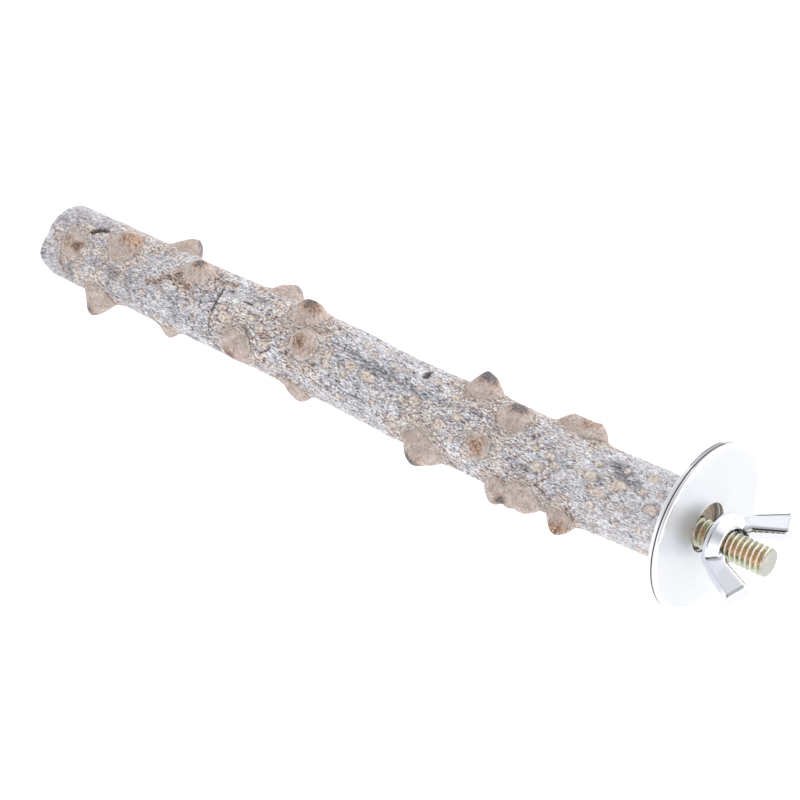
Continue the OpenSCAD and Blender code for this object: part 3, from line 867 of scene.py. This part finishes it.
# ----------------------------------------------------------------------------
# Materials
# ----------------------------------------------------------------------------
class Nodes:
    """Short hand for building a node material."""

    def __init__(self, name):
        self.mat = bpy.data.materials.new(name)
        self.mat.use_nodes = True
        self.nt = self.mat.node_tree
        self.nt.nodes.clear()
        self.out = self.nt.nodes.new("ShaderNodeOutputMaterial")
        self.bsdf = self.nt.nodes.new("ShaderNodeBsdfPrincipled")
        self.nt.links.new(self.bsdf.outputs[0], self.out.inputs[0])
        tc = self.nt.nodes.new("ShaderNodeTexCoord")
        self.P = self.vec("MULTIPLY", tc.outputs["Object"], (1000, 1000, 1000))

    def link(self, a, b):
        self.nt.links.new(a, b)

    def put(self, sock, v):
        if isinstance(v, bpy.types.NodeSocket):
            self.link(v, sock)
        elif isinstance(v, (tuple, list)) and len(v) == 3 and sock.type == "RGBA":
            sock.default_value = (*v, 1)
        else:
            sock.default_value = v

    def vec(self, op, a, b):
        n = self.nt.nodes.new("ShaderNodeVectorMath")
        n.operation = op
        self.put(n.inputs[0], a)
        self.put(n.inputs[1], b)
        return n.outputs[0]

    def math(self, op, a, b=0.0, c=None, clamp=False):
        n = self.nt.nodes.new("ShaderNodeMath")
        n.operation = op
        n.use_clamp = clamp
        self.put(n.inputs[0], a)
        self.put(n.inputs[1], b)
        if c is not None:
            self.put(n.inputs[2], c)
        return n.outputs[0]

    def noise(self, vec, scale, detail=3, rough=0.55, distort=0.0, out="Fac"):
        n = self.nt.nodes.new("ShaderNodeTexNoise")
        self.put(n.inputs["Vector"], vec)
        n.inputs["Scale"].default_value = scale
        n.inputs["Detail"].default_value = detail
        n.inputs["Roughness"].default_value = rough
        n.inputs["Distortion"].default_value = distort
        return n.outputs[out]

    def voronoi(self, vec, scale, feature="F1", rand=1.0, out="Distance"):
        n = self.nt.nodes.new("ShaderNodeTexVoronoi")
        n.feature = feature
        self.put(n.inputs["Vector"], vec)
        n.inputs["Scale"].default_value = scale
        n.inputs["Randomness"].default_value = rand
        return n.outputs[out]

    def ramp(self, fac, stops, mode="LINEAR"):
        n = self.nt.nodes.new("ShaderNodeValToRGB")
        n.color_ramp.interpolation = mode
        el = n.color_ramp.elements
        while len(el) > len(stops):
            el.remove(el[-1])
        while len(el) < len(stops):
            el.new(0.5)
        for e, (p, c) in zip(el, stops):
            e.position = p
            e.color = (*c, 1) if isinstance(c, (tuple, list)) else (c, c, c, 1)
        self.put(n.inputs[0], fac)
        return n.outputs[0]

    def mix(self, fac, a, b, mode="MIX"):
        n = self.nt.nodes.new("ShaderNodeMix")
        n.data_type = "RGBA"
        n.blend_type = mode
        n.clamp_factor = True
        self.put(n.inputs["Factor"], fac)
        self.put(n.inputs[6], a)
        self.put(n.inputs[7], b)
        return n.outputs[2]

    def attr(self, name):
        n = self.nt.nodes.new("ShaderNodeAttribute")
        n.attribute_type = "GEOMETRY"
        n.attribute_name = name
        return n.outputs["Fac"]

    def bump(self, height, distance, strength=1.0, normal=None):
        n = self.nt.nodes.new("ShaderNodeBump")
        n.inputs["Strength"].default_value = strength
        n.inputs["Distance"].default_value = distance
        self.put(n.inputs["Height"], height)
        if normal is not None:
            self.put(n.inputs["Normal"], normal)
        return n.outputs[0]

    def set(self, **kw):
        names = {"color": "Base Color", "rough": "Roughness", "metal": "Metallic", "normal": "Normal",
                 "spec": "Specular IOR Level", "coat": "Coat Weight", "coat_rough": "Coat Roughness",
                 "sheen": "Sheen Weight", "aniso": "Anisotropic"}
        for k, v in kw.items():
            self.put(self.bsdf.inputs[names[k]], v)
        return self.mat


def bark_material():
    m = Nodes("bark_grey")
    along = m.vec("MULTIPLY", m.P, (0.36, 1.0, 1.0))
    # fine pale and dark dashes along the grain, over broader mottling
    fa = m.noise(along, 3.3, 1.5, 0.5, 0.6)
    fb = m.noise(m.vec("MULTIPLY", m.P, (0.45, 0.8, 0.8)), 1.4, 3.0, 0.65, 0.6)
    fc = m.noise(m.vec("MULTIPLY", m.P, (0.17, 0.30, 0.30)), 1.0, 2.0, 0.55, 0.0)
    f = m.math("ADD", m.math("MULTIPLY", fa, 0.62), m.math("MULTIPLY", fb, 0.38))
    f = m.math("ADD", f, m.math("MULTIPLY", m.math("SUBTRACT", fc, 0.5), 0.16))
    f = m.math("ADD", f, m.math("MULTIPLY", m.attr("relief"), 0.05))
    c = m.ramp(f, [(0.37, (0.12, 0.115, 0.135)), (0.42, (0.34, 0.33, 0.375)), (0.465, (0.58, 0.57, 0.625)),
                   (0.53, (0.73, 0.725, 0.775)), (0.56, (0.97, 0.97, 1.0)), (0.60, (1.0, 1.0, 1.0))])
    bx = m.nt.nodes.new("ShaderNodeSeparateXYZ")
    m.link(m.P, bx.inputs[0])
    far = m.nt.nodes.new("ShaderNodeMapRange")
    far.inputs["From Min"].default_value, far.inputs["From Max"].default_value = -132.0, -168.0
    m.link(bx.outputs[0], far.inputs["Value"])
    near = m.nt.nodes.new("ShaderNodeMapRange")
    near.inputs["From Min"].default_value, near.inputs["From Max"].default_value = -42.0, -8.0
    m.link(bx.outputs[0], near.inputs["Value"])
    soft = m.math("ADD", m.math("MULTIPLY", far.outputs[0], 0.42), m.math("MULTIPLY", near.outputs[0], 0.38))
    c = m.mix(soft, c, m.ramp(near.outputs[0], [(0.0, (0.55, 0.535, 0.585)), (1.0, (0.98, 0.96, 1.0))]))
    blot = m.noise(m.vec("MULTIPLY", m.vec("ADD", m.P, (2, 8, 41)), (0.42, 0.75, 0.75)), 1.0, 3.0, 0.55, 0.5)
    blot_on = m.ramp(far.outputs[0], [(0.0, 0.25), (1.0, 0.85)])
    c = m.mix(m.math("MULTIPLY", m.ramp(blot, [(0.54, 0.0), (0.64, 0.8)]), blot_on), c, (0.34, 0.315, 0.345))
    c = m.mix(m.math("MULTIPLY", m.ramp(blot, [(0.36, 0.7), (0.46, 0.0)]), blot_on), c, (0.86, 0.85, 0.91))
    # warm, tan-grey stretches between the cool ones
    warm = m.ramp(m.noise(m.vec("MULTIPLY", m.vec("ADD", m.P, (11, 4, 27)), (0.22, 0.34, 0.34)), 1.0, 3.0, 0.6),
                  [(0.42, 0.0), (0.56, 1.0)])
    warm_c = m.ramp(f, [(0.36, (0.15, 0.095, 0.075)), (0.415, (0.42, 0.315, 0.27)), (0.46, (0.69, 0.575, 0.515)),
                        (0.53, (0.86, 0.775, 0.725)), (0.58, (1.0, 0.98, 0.96))])
    warm = m.math("MULTIPLY", warm, m.ramp(m.attr("warmth"), [(0.0, 0.22), (0.8, 0.95)]))
    c = m.mix(warm, c, warm_c)
    # dark seams and brown crumbs
    fs = m.noise(m.vec("MULTIPLY", m.P, (0.30, 0.85, 0.85)), 1.0, 3.0, 0.6, 0.8)
    seam_and_foot_shade = m.ramp(m.math("ABSOLUTE", m.math("SUBTRACT", fs, 0.5)), [(0.0, 1.0), (0.012, 0.9), (0.03, 0.0)])
    seam_and_foot_shade = m.math("MULTIPLY", seam_and_foot_shade, m.ramp(fb, [(0.44, 0.0), (0.52, 0.9)]))
    c = m.mix(seam_and_foot_shade, c, (0.10, 0.08, 0.078))
    crumb = m.math("ADD", m.noise(m.vec("ADD", m.P, (31, 7, 3)), 1.35, 3.0, 0.62, 0.7), m.math("MULTIPLY", m.attr("warmth"), 0.055))
    crumb = m.ramp(crumb, [(0.60, 0.0), (0.655, 0.85)])
    crumb = m.math("MULTIPLY", crumb, m.ramp(m.attr("warmth"), [(0.0, 0.45), (0.6, 1.0)]))
    crumb_c = m.ramp(fa, [(0.36, (0.15, 0.07, 0.048)), (0.6, (0.50, 0.34, 0.25))])
    c = m.mix(crumb, c, crumb_c)
    # taupe skirts round the thorns, wrinkled
    grain = m.ramp(fa, [(0.34, 0.52), (0.48, 0.98), (0.62, 1.35)])
    skin_c = m.mix(1.0, m.ramp(fb, [(0.32, (0.40, 0.33, 0.295)), (0.47, (0.60, 0.52, 0.475)),
                                    (0.62, (0.80, 0.735, 0.70))]), grain, "MULTIPLY")
    skin = m.attr("skin")
    edge = m.math("ADD", skin, m.math("MULTIPLY", m.math("SUBTRACT", m.noise(m.P, 0.9, 3.0), 0.5), 1.5))
    c = m.mix(m.ramp(edge, [(0.40, 0.0), (0.95, 0.80)]), c, skin_c)
    wrinkle = m.math("MULTIPLY", m.attr("wrinkle"), m.ramp(fb, [(0.38, 0.15), (0.52, 1.0)]))
    c = m.mix(m.math("MULTIPLY", wrinkle, 0.75), c, (0.20, 0.145, 0.12))
    # painted shade: the bark darkened round the foot of each thorn, where the cone meets it
    painted_foot_shade = m.math("MULTIPLY", m.attr("painted_foot_shade"), m.ramp(fa, [(0.40, 1.0), (0.56, 0.25)]))
    c = m.mix(m.math("MULTIPLY", painted_foot_shade, 0.85), c, (0.15, 0.095, 0.075))
    # tan cork patches
    tan_c = m.ramp(m.noise(m.P, 1.7, 3.0, 0.65), [(0.32, (0.24, 0.165, 0.125)), (0.42, (0.60, 0.47, 0.385)),
                                                  (0.52, (0.82, 0.70, 0.605)), (0.64, (0.98, 0.93, 0.88))])
    c = m.mix(m.math("MULTIPLY", m.attr("tan"), 0.9), c, tan_c)
    c = m.mix(m.math("MULTIPLY", m.attr("rim"), m.ramp(fb, [(0.42, 0.05), (0.54, 0.85)])), c, (0.24, 0.16, 0.125))
    # soot: the dark dashes win over the pale ones
    soot = m.math("MULTIPLY", m.attr("dark"), m.ramp(fa, [(0.46, 1.0), (0.54, 0.5)]))
    c = m.mix(soot, c, m.ramp(fb, [(0.38, (0.055, 0.055, 0.068)), (0.58, (0.24, 0.235, 0.26))]))
    # cracks with brown crusts
    crust = m.math("MULTIPLY", m.attr("brown"), m.ramp(fb, [(0.40, 0.25), (0.52, 1.0)]))
    crust_c = m.ramp(fa, [(0.36, (0.07, 0.030, 0.018)), (0.44, (0.30, 0.145, 0.085)), (0.52, (0.55, 0.37, 0.27)), (0.60, (0.85, 0.74, 0.64))])
    c = m.mix(m.math("MULTIPLY", crust, 0.95), c, crust_c)
    c = m.mix(m.math("MULTIPLY", m.attr("crack"), 0.92), c, (0.045, 0.036, 0.034))
    # the sawn edge of the bark
    cut_c = m.ramp(m.noise(m.P, 1.2, 3.0), [(0.3, (0.20, 0.13, 0.09)), (0.6, (0.42, 0.31, 0.22))])
    c = m.mix(m.attr("cut"), c, cut_c)
    b = m.bump(m.math("ADD", fa, m.math("MULTIPLY", fb, 1.6)), 0.0002, 0.9)
    return m.set(color=c, rough=m.ramp(fa, [(0.35, 0.90), (0.65, 0.62)]), spec=0.35, normal=b)


def thorn_material():
    m = Nodes("thorn_taupe")
    n = m.noise(m.P, 0.55, 4.0, 0.6, 0.3)
    fine = m.noise(m.P, 2.6, 3.0, 0.65)
    c = m.ramp(n, [(0.30, (0.50, 0.42, 0.38)), (0.46, (0.60, 0.508, 0.465)), (0.60, (0.715, 0.615, 0.57)),
                   (0.76, (0.80, 0.73, 0.69))])
    c = m.mix(0.75, c, m.mix(1.0, c, m.ramp(fine, [(0.28, (0.58, 0.55, 0.53)), (0.5, (1.0, 1.0, 1.0)),
                                                  (0.70, (1.25, 1.25, 1.27))]), "MULTIPLY"))
    # reddish stain in soft areas
    red = m.ramp(m.noise(m.vec("ADD", m.P, (3, 70, 9)), 0.42, 2.0, 0.55), [(0.48, 0.0), (0.68, 0.55)])
    c = m.mix(red, c, m.mix(1.0, c, (0.86, 0.71, 0.63), "MULTIPLY"))
    # creases round the cone
    crease = m.math("MULTIPLY", m.attr("groove"), m.ramp(n, [(0.40, 0.25), (0.58, 1.0)]))
    c = m.mix(m.math("MULTIPLY", crease, 0.62), c, (0.24, 0.17, 0.14))
    specks = m.ramp(m.noise(m.vec("ADD", m.P, (70, 3, 9)), 1.9, 3.0, 0.6), [(0.60, 0.0), (0.66, 0.8)])
    c = m.mix(specks, c, (0.24, 0.15, 0.115))
    # fine wrinkles
    lines = m.math("ABSOLUTE", m.math("SUBTRACT", m.noise(m.P, 0.85, 3.0, 0.55, 0.7), 0.5))
    lines = m.math("MULTIPLY", m.ramp(lines, [(0.0, 0.95), (0.010, 0.85), (0.026, 0.0)]),
                   m.ramp(fine, [(0.46, 0.1), (0.56, 1.0)]))
    c = m.mix(lines, c, (0.22, 0.16, 0.135))
    # painted shade: a dark band in the crease where the cone leaves the bark
    seam_and_foot_shade = m.math("MULTIPLY", m.attr("foot"), m.ramp(n, [(0.36, 0.2), (0.47, 1.0)]))
    c = m.mix(m.math("MULTIPLY", seam_and_foot_shade, 0.85), c, (0.15, 0.10, 0.085))
    # paler, scaly foot like the bark next to it
    e = m.math("ADD", m.attr("edge"), m.math("MULTIPLY", m.math("SUBTRACT", m.noise(m.P, 1.2, 3.0), 0.5), 1.5))
    foot = m.ramp(fine, [(0.32, (0.26, 0.21, 0.19)), (0.46, (0.58, 0.52, 0.49)), (0.60, (0.93, 0.91, 0.91))])
    c = m.mix(m.ramp(e, [(0.45, 0.0), (0.95, 0.8)]), c, foot)
    br = m.ramp(m.noise(m.vec("ADD", m.P, (9, 9, 60)), 1.6, 3.0, 0.65),
                [(0.34, (0.09, 0.04, 0.024)), (0.46, (0.30, 0.15, 0.085)), (0.56, (0.52, 0.36, 0.25)), (0.66, (0.68, 0.55, 0.46))])
    ragged = m.math("MULTIPLY", m.math("SUBTRACT", m.noise(m.vec("ADD", m.P, (5, 50, 5)), 2.2, 4.0, 0.65), 0.5), 1.3)
    stain = m.math("ADD", m.attr("brown"), ragged)
    c = m.mix(m.math("MULTIPLY", m.ramp(stain, [(0.10, 0.0), (0.50, 0.6), (0.80, 1.0)]), 0.9), c, br)
    gr = m.ramp(fine, [(0.32, (0.025, 0.024, 0.032)), (0.46, (0.10, 0.095, 0.112)), (0.56, (0.20, 0.185, 0.20)), (0.68, (0.40, 0.37, 0.38))])
    tip = m.math("ADD", m.attr("grey"), m.math("MULTIPLY", ragged, 0.9))
    c = m.mix(m.math("MULTIPLY", m.ramp(tip, [(0.12, 0.0), (0.42, 0.55), (0.75, 1.0)]), 0.85), c, gr)
    b = m.bump(m.math("ADD", fine, m.math("MULTIPLY", n, 1.5)), 0.00009, 0.8)
    return m.set(color=c, rough=0.70, spec=0.35, normal=b)


def wood_material():
    m = Nodes("wood_sawn")
    sep = m.nt.nodes.new("ShaderNodeSeparateXYZ")
    m.link(m.P, sep.inputs[0])
    wob = m.math("MULTIPLY", m.math("SUBTRACT", m.noise(m.P, 0.25, 2.0), 0.5), 1.2)
    rr = m.math("ADD", m.math("SQRT", m.math("ADD", m.math("MULTIPLY", sep.outputs[1], sep.outputs[1]),
                                             m.math("MULTIPLY", sep.outputs[2], sep.outputs[2]))), wob)
    ring = m.math("FRACT", m.math("DIVIDE", rr, 1.45))
    c = m.ramp(ring, [(0.0, (0.50, 0.37, 0.24)), (0.12, (0.68, 0.56, 0.41)), (0.75, (0.74, 0.63, 0.48)),
                      (0.97, (0.44, 0.31, 0.20))])
    pores = m.ramp(m.noise(m.vec("MULTIPLY", m.P, (0.1, 1, 1)), 4.5, 2.0, 0.6), [(0.36, 0.62), (0.52, 1.0)])
    c = m.mix(1.0, c, pores, "MULTIPLY")
    grey = m.ramp(m.noise(m.P, 0.3, 3.0), [(0.4, 0.15), (0.75, 0.65)])
    c = m.mix(grey, c, (0.46, 0.42, 0.37))
    pith = m.ramp(rr, [(0.0, 1.0), (0.9, 1.0), (1.3, 0.0)])
    c = m.mix(m.math("MULTIPLY", pith, 0.7), c, (0.20, 0.13, 0.08))
    b = m.bump(m.noise(m.vec("MULTIPLY", m.P, (0.2, 1, 1)), 3.0, 3.0), 0.00008, 0.7)
    return m.set(color=c, rough=0.85, spec=0.25, normal=b)


def zinc_material(name, tint, rough, scratch_dir, aniso=0.0, metal=1.0, disc=False):
    m = Nodes(name)
    cloud = m.noise(m.P, 0.13, 3.0, 0.5)
    c = m.ramp(cloud, [(0.32, tuple(t * 0.97 for t in tint)), (0.68, tint)])
    lines = m.noise(m.vec("MULTIPLY", m.P, scratch_dir), 3.0, 3.0, 0.6)
    c = m.mix(1.0, c, m.ramp(lines, [(0.3, 0.975), (0.7, 1.0)]), "MULTIPLY")
    r = m.ramp(m.noise(m.P, 0.25, 3.0, 0.5), [(0.3, rough * 0.85), (0.7, rough * 1.2)])
    if disc:  # polished where the punch and the roller went: rim and hole are smoother, and the rim's colour is also lightened as a painted highlight
        q = m.vec("MULTIPLY", m.vec("SUBTRACT", m.P, (0.0, W_Y, W_Z)), (0.0, 1.0, 1.0))
        ln = m.nt.nodes.new("ShaderNodeVectorMath")
        ln.operation = "LENGTH"
        m.link(q, ln.inputs[0])
        edge = m.nt.nodes.new("ShaderNodeMapRange")
        edge.inputs["From Min"].default_value, edge.inputs["From Max"].default_value = 17.3, 17.8
        m.link(ln.outputs["Value"], edge.inputs["Value"])
        hole = m.nt.nodes.new("ShaderNodeMapRange")
        hole.inputs["From Min"].default_value, hole.inputs["From Max"].default_value = 5.75, 5.6
        m.link(ln.outputs["Value"], hole.inputs["Value"])
        polish = m.math("MAXIMUM", edge.outputs[0], hole.outputs[0])
        r = m.mix(polish, r, (0.07, 0.07, 0.07))
        # painted highlight: the rim's colour lightened
        c = m.mix(edge.outputs[0], c, (0.88, 0.888, 0.91))
        metal = m.math("ADD", m.math("MULTIPLY", edge.outputs[0], -0.10), metal)
        # painted shade: dark colour in the joint between the two discs, where shade falls in the gap
        sx = m.nt.nodes.new("ShaderNodeSeparateXYZ")
        m.link(m.P, sx.inputs[0])
        gap_shade = m.ramp(m.math("ABSOLUTE", m.math("SUBTRACT", sx.outputs[0], 1.03)), [(0.0, 1.0), (0.13, 1.0), (0.20, 0.0)])
        gap_shade = m.math("MULTIPLY", gap_shade, edge.outputs[0])
        c = m.mix(gap_shade, c, (0.03, 0.032, 0.045))
        metal = m.math("MULTIPLY", metal, m.math("SUBTRACT", 1.0, gap_shade))
    else:  # painted shade in the thread and its countersink
        q = m.vec("MULTIPLY", m.P, (0.0, 1.0, 1.0))
        ln = m.nt.nodes.new("ShaderNodeVectorMath")
        ln.operation = "LENGTH"
        m.link(q, ln.inputs[0])
        bore = m.nt.nodes.new("ShaderNodeMapRange")
        bore.inputs["From Min"].default_value, bore.inputs["From Max"].default_value = 3.90, 3.72
        m.link(ln.outputs["Value"], bore.inputs["Value"])
        c = m.mix(bore.outputs[0], c, (0.07, 0.065, 0.06))
        metal = m.math("SUBTRACT", metal, m.math("MULTIPLY", bore.outputs[0], 0.8))
    b = m.bump(lines, 0.000004, 0.2)
    b = m.bump(m.noise(m.P, 0.22, 2.0, 0.5), 0.00004, 0.10, b)
    return m.set(color=c, metal=metal, rough=r, normal=b, aniso=aniso)


def bolt_material():
    m = Nodes("bolt_yellow_zinc")
    sep = m.nt.nodes.new("ShaderNodeSeparateXYZ")
    m.link(m.P, sep.inputs[0])
    rr = m.math("SQRT", m.math("ADD", m.math("MULTIPLY", sep.outputs[1], sep.outputs[1]),
                               m.math("MULTIPLY", sep.outputs[2], sep.outputs[2])))
    # the passivated film: olive, orange and green in soft bands round the bolt; the colours are the film's own, but
    # their placement is painted sheen, orange on the side towards the camera and green below it
    turn = m.math("DIVIDE", m.math("ARCTAN2", sep.outputs[2], sep.outputs[1]), 2 * PI)
    turn = m.math("FRACT", m.math("ADD", turn, 1.0))
    f = m.math("ADD", turn, m.math("MULTIPLY", m.math("SUBTRACT", m.noise(m.vec("MULTIPLY", m.P, (0.7, 0.5, 0.5)), 1.0, 3.0, 0.6), 0.5), 0.34))
    film_and_sheen = m.ramp(f, [(0.0, (0.54, 0.54, 0.40)), (0.20, (0.42, 0.41, 0.28)), (0.30, (0.58, 0.53, 0.37)), (0.40, (0.86, 0.62, 0.39)),
                      (0.45, (0.85, 0.66, 0.46)), (0.53, (0.54, 0.59, 0.39)), (0.62, (0.66, 0.69, 0.55)), (0.80, (0.58, 0.56, 0.44)),
                      (1.0, (0.54, 0.54, 0.40))])
    # painted highlight: the crests of the thread coloured near-white
    n = m.nt.nodes.new("ShaderNodeMapRange")
    n.inputs["From Min"].default_value, n.inputs["From Max"].default_value = 3.00, 3.16
    m.link(rr, n.inputs["Value"])
    c = m.mix(m.math("MULTIPLY", n.outputs[0], 0.85), film_and_sheen, (0.95, 0.95, 0.92))
    # the cut end is paler
    e = m.nt.nodes.new("ShaderNodeMapRange")
    e.inputs["From Min"].default_value, e.inputs["From Max"].default_value = 17.6, 17.66
    m.link(sep.outputs[0], e.inputs["Value"])
    face = m.ramp(m.noise(m.vec("ADD", m.P, (3, 2, 8)), 0.22, 2.0), [(0.38, (0.40, 0.395, 0.37)), (0.62, (0.52, 0.52, 0.485))])
    c = m.mix(m.math("MULTIPLY", e.outputs[0], 0.92), c, face)
    grime = m.ramp(m.noise(m.P, 1.4, 3.0), [(0.35, 0.82), (0.6, 1.0)])
    c = m.mix(m.math("SUBTRACT", 1.0, m.math("MULTIPLY", e.outputs[0], 0.8)), c, m.mix(1.0, c, grime, "MULTIPLY"))
    r = m.ramp(m.noise(m.P, 1.8, 3.0), [(0.3, 0.20), (0.7, 0.36)])
    b = m.bump(m.noise(m.P, 2.5, 3.0), 0.000012, 0.3)
    return m.set(color=c, metal=0.80, rough=r, normal=b)


# ----------------------------------------------------------------------------
# Build
# ----------------------------------------------------------------------------
def give(ob, mat):
    ob.data.materials.clear()
    ob.data.materials.append(mat)


bark = build_bark()
stand_for(bark, "bark", "perch")
give(bark, bark_material())
thorn_mat = thorn_material()
for i, t in enumerate(THORNS):
    give(build_thorn(i, *t), thorn_mat)
give(build_wood(), wood_material())
give(build_bolt(), bolt_material())
washer_mat = zinc_material("zinc_bright", (0.775, 0.792, 0.815), 0.32, (1.0, 0.12, 1.0), metal=0.72, disc=True)
give(build_washer("washer_inner_disc", "inner_washer", "inner_washer", 0.05, 1, 0.22, 0.22, 0.10), washer_mat)
give(build_washer("washer_outer_disc", "outer_washer", "outer_washer", 1.05, 2, 0.44, 0.50, 0.12), washer_mat)
give(build_nut(), zinc_material("zinc_blue", (0.80, 0.812, 0.862), 0.07, (1.0, 1.0, 0.2)))

# ----------------------------------------------------------------------------
# Studio: pale floor, white surroundings, soft lights
# ----------------------------------------------------------------------------
floor_mat = Nodes("floor_white")
floor_mat.set(color=floor_mat.ramp(floor_mat.noise(floor_mat.P, 0.002, 2.0), [(0.3, 0.93), (0.7, 0.95)]), rough=0.9, spec=0.1)
floor_mat.bsdf.inputs["Emission Color"].default_value = (1, 1, 1, 1)
floor_mat.bsdf.inputs["Emission Strength"].default_value = 0.25  # lit from below, like a light table
fm = bpy.data.meshes.new("floor")
S, Z = 3.0, -0.075
fm.from_pydata([(-S, -S, Z), (S, -S, Z), (S, S, Z), (-S, S, Z)], [], [(0, 1, 2, 3)])
floor = bpy.data.objects.new("floor", fm)
bpy.context.scene.collection.objects.link(floor)
fm.materials.append(floor_mat.mat)

# the surroundings: white, darker in a lobe where the photographer and the
# camera stand, and with one dark strip that the bright metal mirrors
world = bpy.data.worlds.new("studio")
bpy.context.scene.world = world
world.use_nodes = True
wn = world.node_tree
bg = wn.nodes["Background"]
wdir = wn.nodes.new("ShaderNodeTexCoord").outputs["Generated"]


def w_math(op, a, b=0.0, clamp=False):
    n = wn.nodes.new("ShaderNodeMath")
    n.operation, n.use_clamp = op, clamp
    for sock, v in zip(n.inputs, (a, b)):
        if isinstance(v, bpy.types.NodeSocket):
            wn.links.new(v, sock)
        else:
            sock.default_value = v
    return n.outputs[0]


def w_dot(v):
    n = wn.nodes.new("ShaderNodeVectorMath")
    n.operation = "DOT_PRODUCT"
    wn.links.new(wdir, n.inputs[0])
    n.inputs[1].default_value = Vector(v).normalized()
    return n.outputs["Value"]


def w_step(v, lo, hi, a=0.0, b=1.0):
    n = wn.nodes.new("ShaderNodeMapRange")
    n.interpolation_type = "SMOOTHSTEP"
    n.inputs["From Min"].default_value, n.inputs["From Max"].default_value = lo, hi
    n.inputs["To Min"].default_value, n.inputs["To Max"].default_value = a, b
    wn.links.new(v, n.inputs["Value"])
    return n.outputs[0]


broad = w_step(w_dot((0.05, -0.50, 0.87)), 0.3, 0.95, 1.6, 0.55)
wsep = wn.nodes.new("ShaderNodeSeparateXYZ")
wn.links.new(wdir, wsep.inputs[0])


def panel(x, half, soft, side, lo, hi, low_z):
    """A dark upright panel: centred at x, on the side of y, over low_z."""
    wide = w_step(w_math("ABSOLUTE", w_math("ADD", wsep.outputs[0], -x)), half, half + soft, 1.0, 0.0)
    far = w_step(w_math("MULTIPLY", wsep.outputs[1], side), lo, hi)
    m = w_math("MULTIPLY", wide, far)
    if low_z is not None:
        m = w_math("MULTIPLY", m, w_step(wsep.outputs[2], low_z, low_z + 0.1))
    return w_math("SUBTRACT", 1.0, w_math("MULTIPLY", m, 0.93))


front = panel(0.03, 0.17, 0.09, -1.0, 0.55, 0.75, None)
back = panel(-0.48, 0.09, 0.05, 1.0, 0.17, 0.30, 0.0)
lamp = w_step(w_dot((0.54, 0.126, 0.83)), 0.88, 0.97, 1.0, 1.5)
value = w_math("MULTIPLY", w_math("MULTIPLY", w_math("MULTIPLY", broad, front), back), lamp)
comb = wn.nodes.new("ShaderNodeCombineXYZ")
for i, t in enumerate((1.0, 1.0, 1.01)):
    wn.links.new(w_math("MULTIPLY", value, t), comb.inputs[i])
wn.links.new(comb.outputs[0], bg.inputs["Color"])
bg.inputs["Strength"].default_value = 1.0


def softbox(name, place, target, size, power, color=(1, 1, 1)):
    li = bpy.data.lights.new(name, "AREA")
    li.shape = "RECTANGLE"
    li.size, li.size_y = size
    li.energy = power
    li.color = color
    ob = bpy.data.objects.new(name, li)
    ob.location = place
    ob.rotation_mode = "QUATERNION"
    ob.rotation_quaternion = (Vector(target) - Vector(place)).to_track_quat("-Z", "Y")
    bpy.context.scene.collection.objects.link(ob)
    return ob


softbox("key", (-0.35, 0.45, 0.85), (-0.08, 0, 0), (0.5, 0.5), 0.15)

cam = bpy.data.cameras.new("camera")
cam.lens, cam.sensor_width = 135.0, 36.0
cam.clip_start, cam.clip_end = 0.01, 20.0
co = bpy.data.objects.new("camera", cam)
co.location = (0.2761, -0.4201, 0.3561)
co.rotation_mode = "QUATERNION"
co.rotation_quaternion = Vector((-0.5416, 0.6400, -0.5450)).to_track_quat("-Z", "Y")
bpy.context.scene.collection.objects.link(co)
bpy.context.scene.camera = co
bpy.context.scene.view_settings.view_transform = "Standard"

bpy.context.view_layer.update()
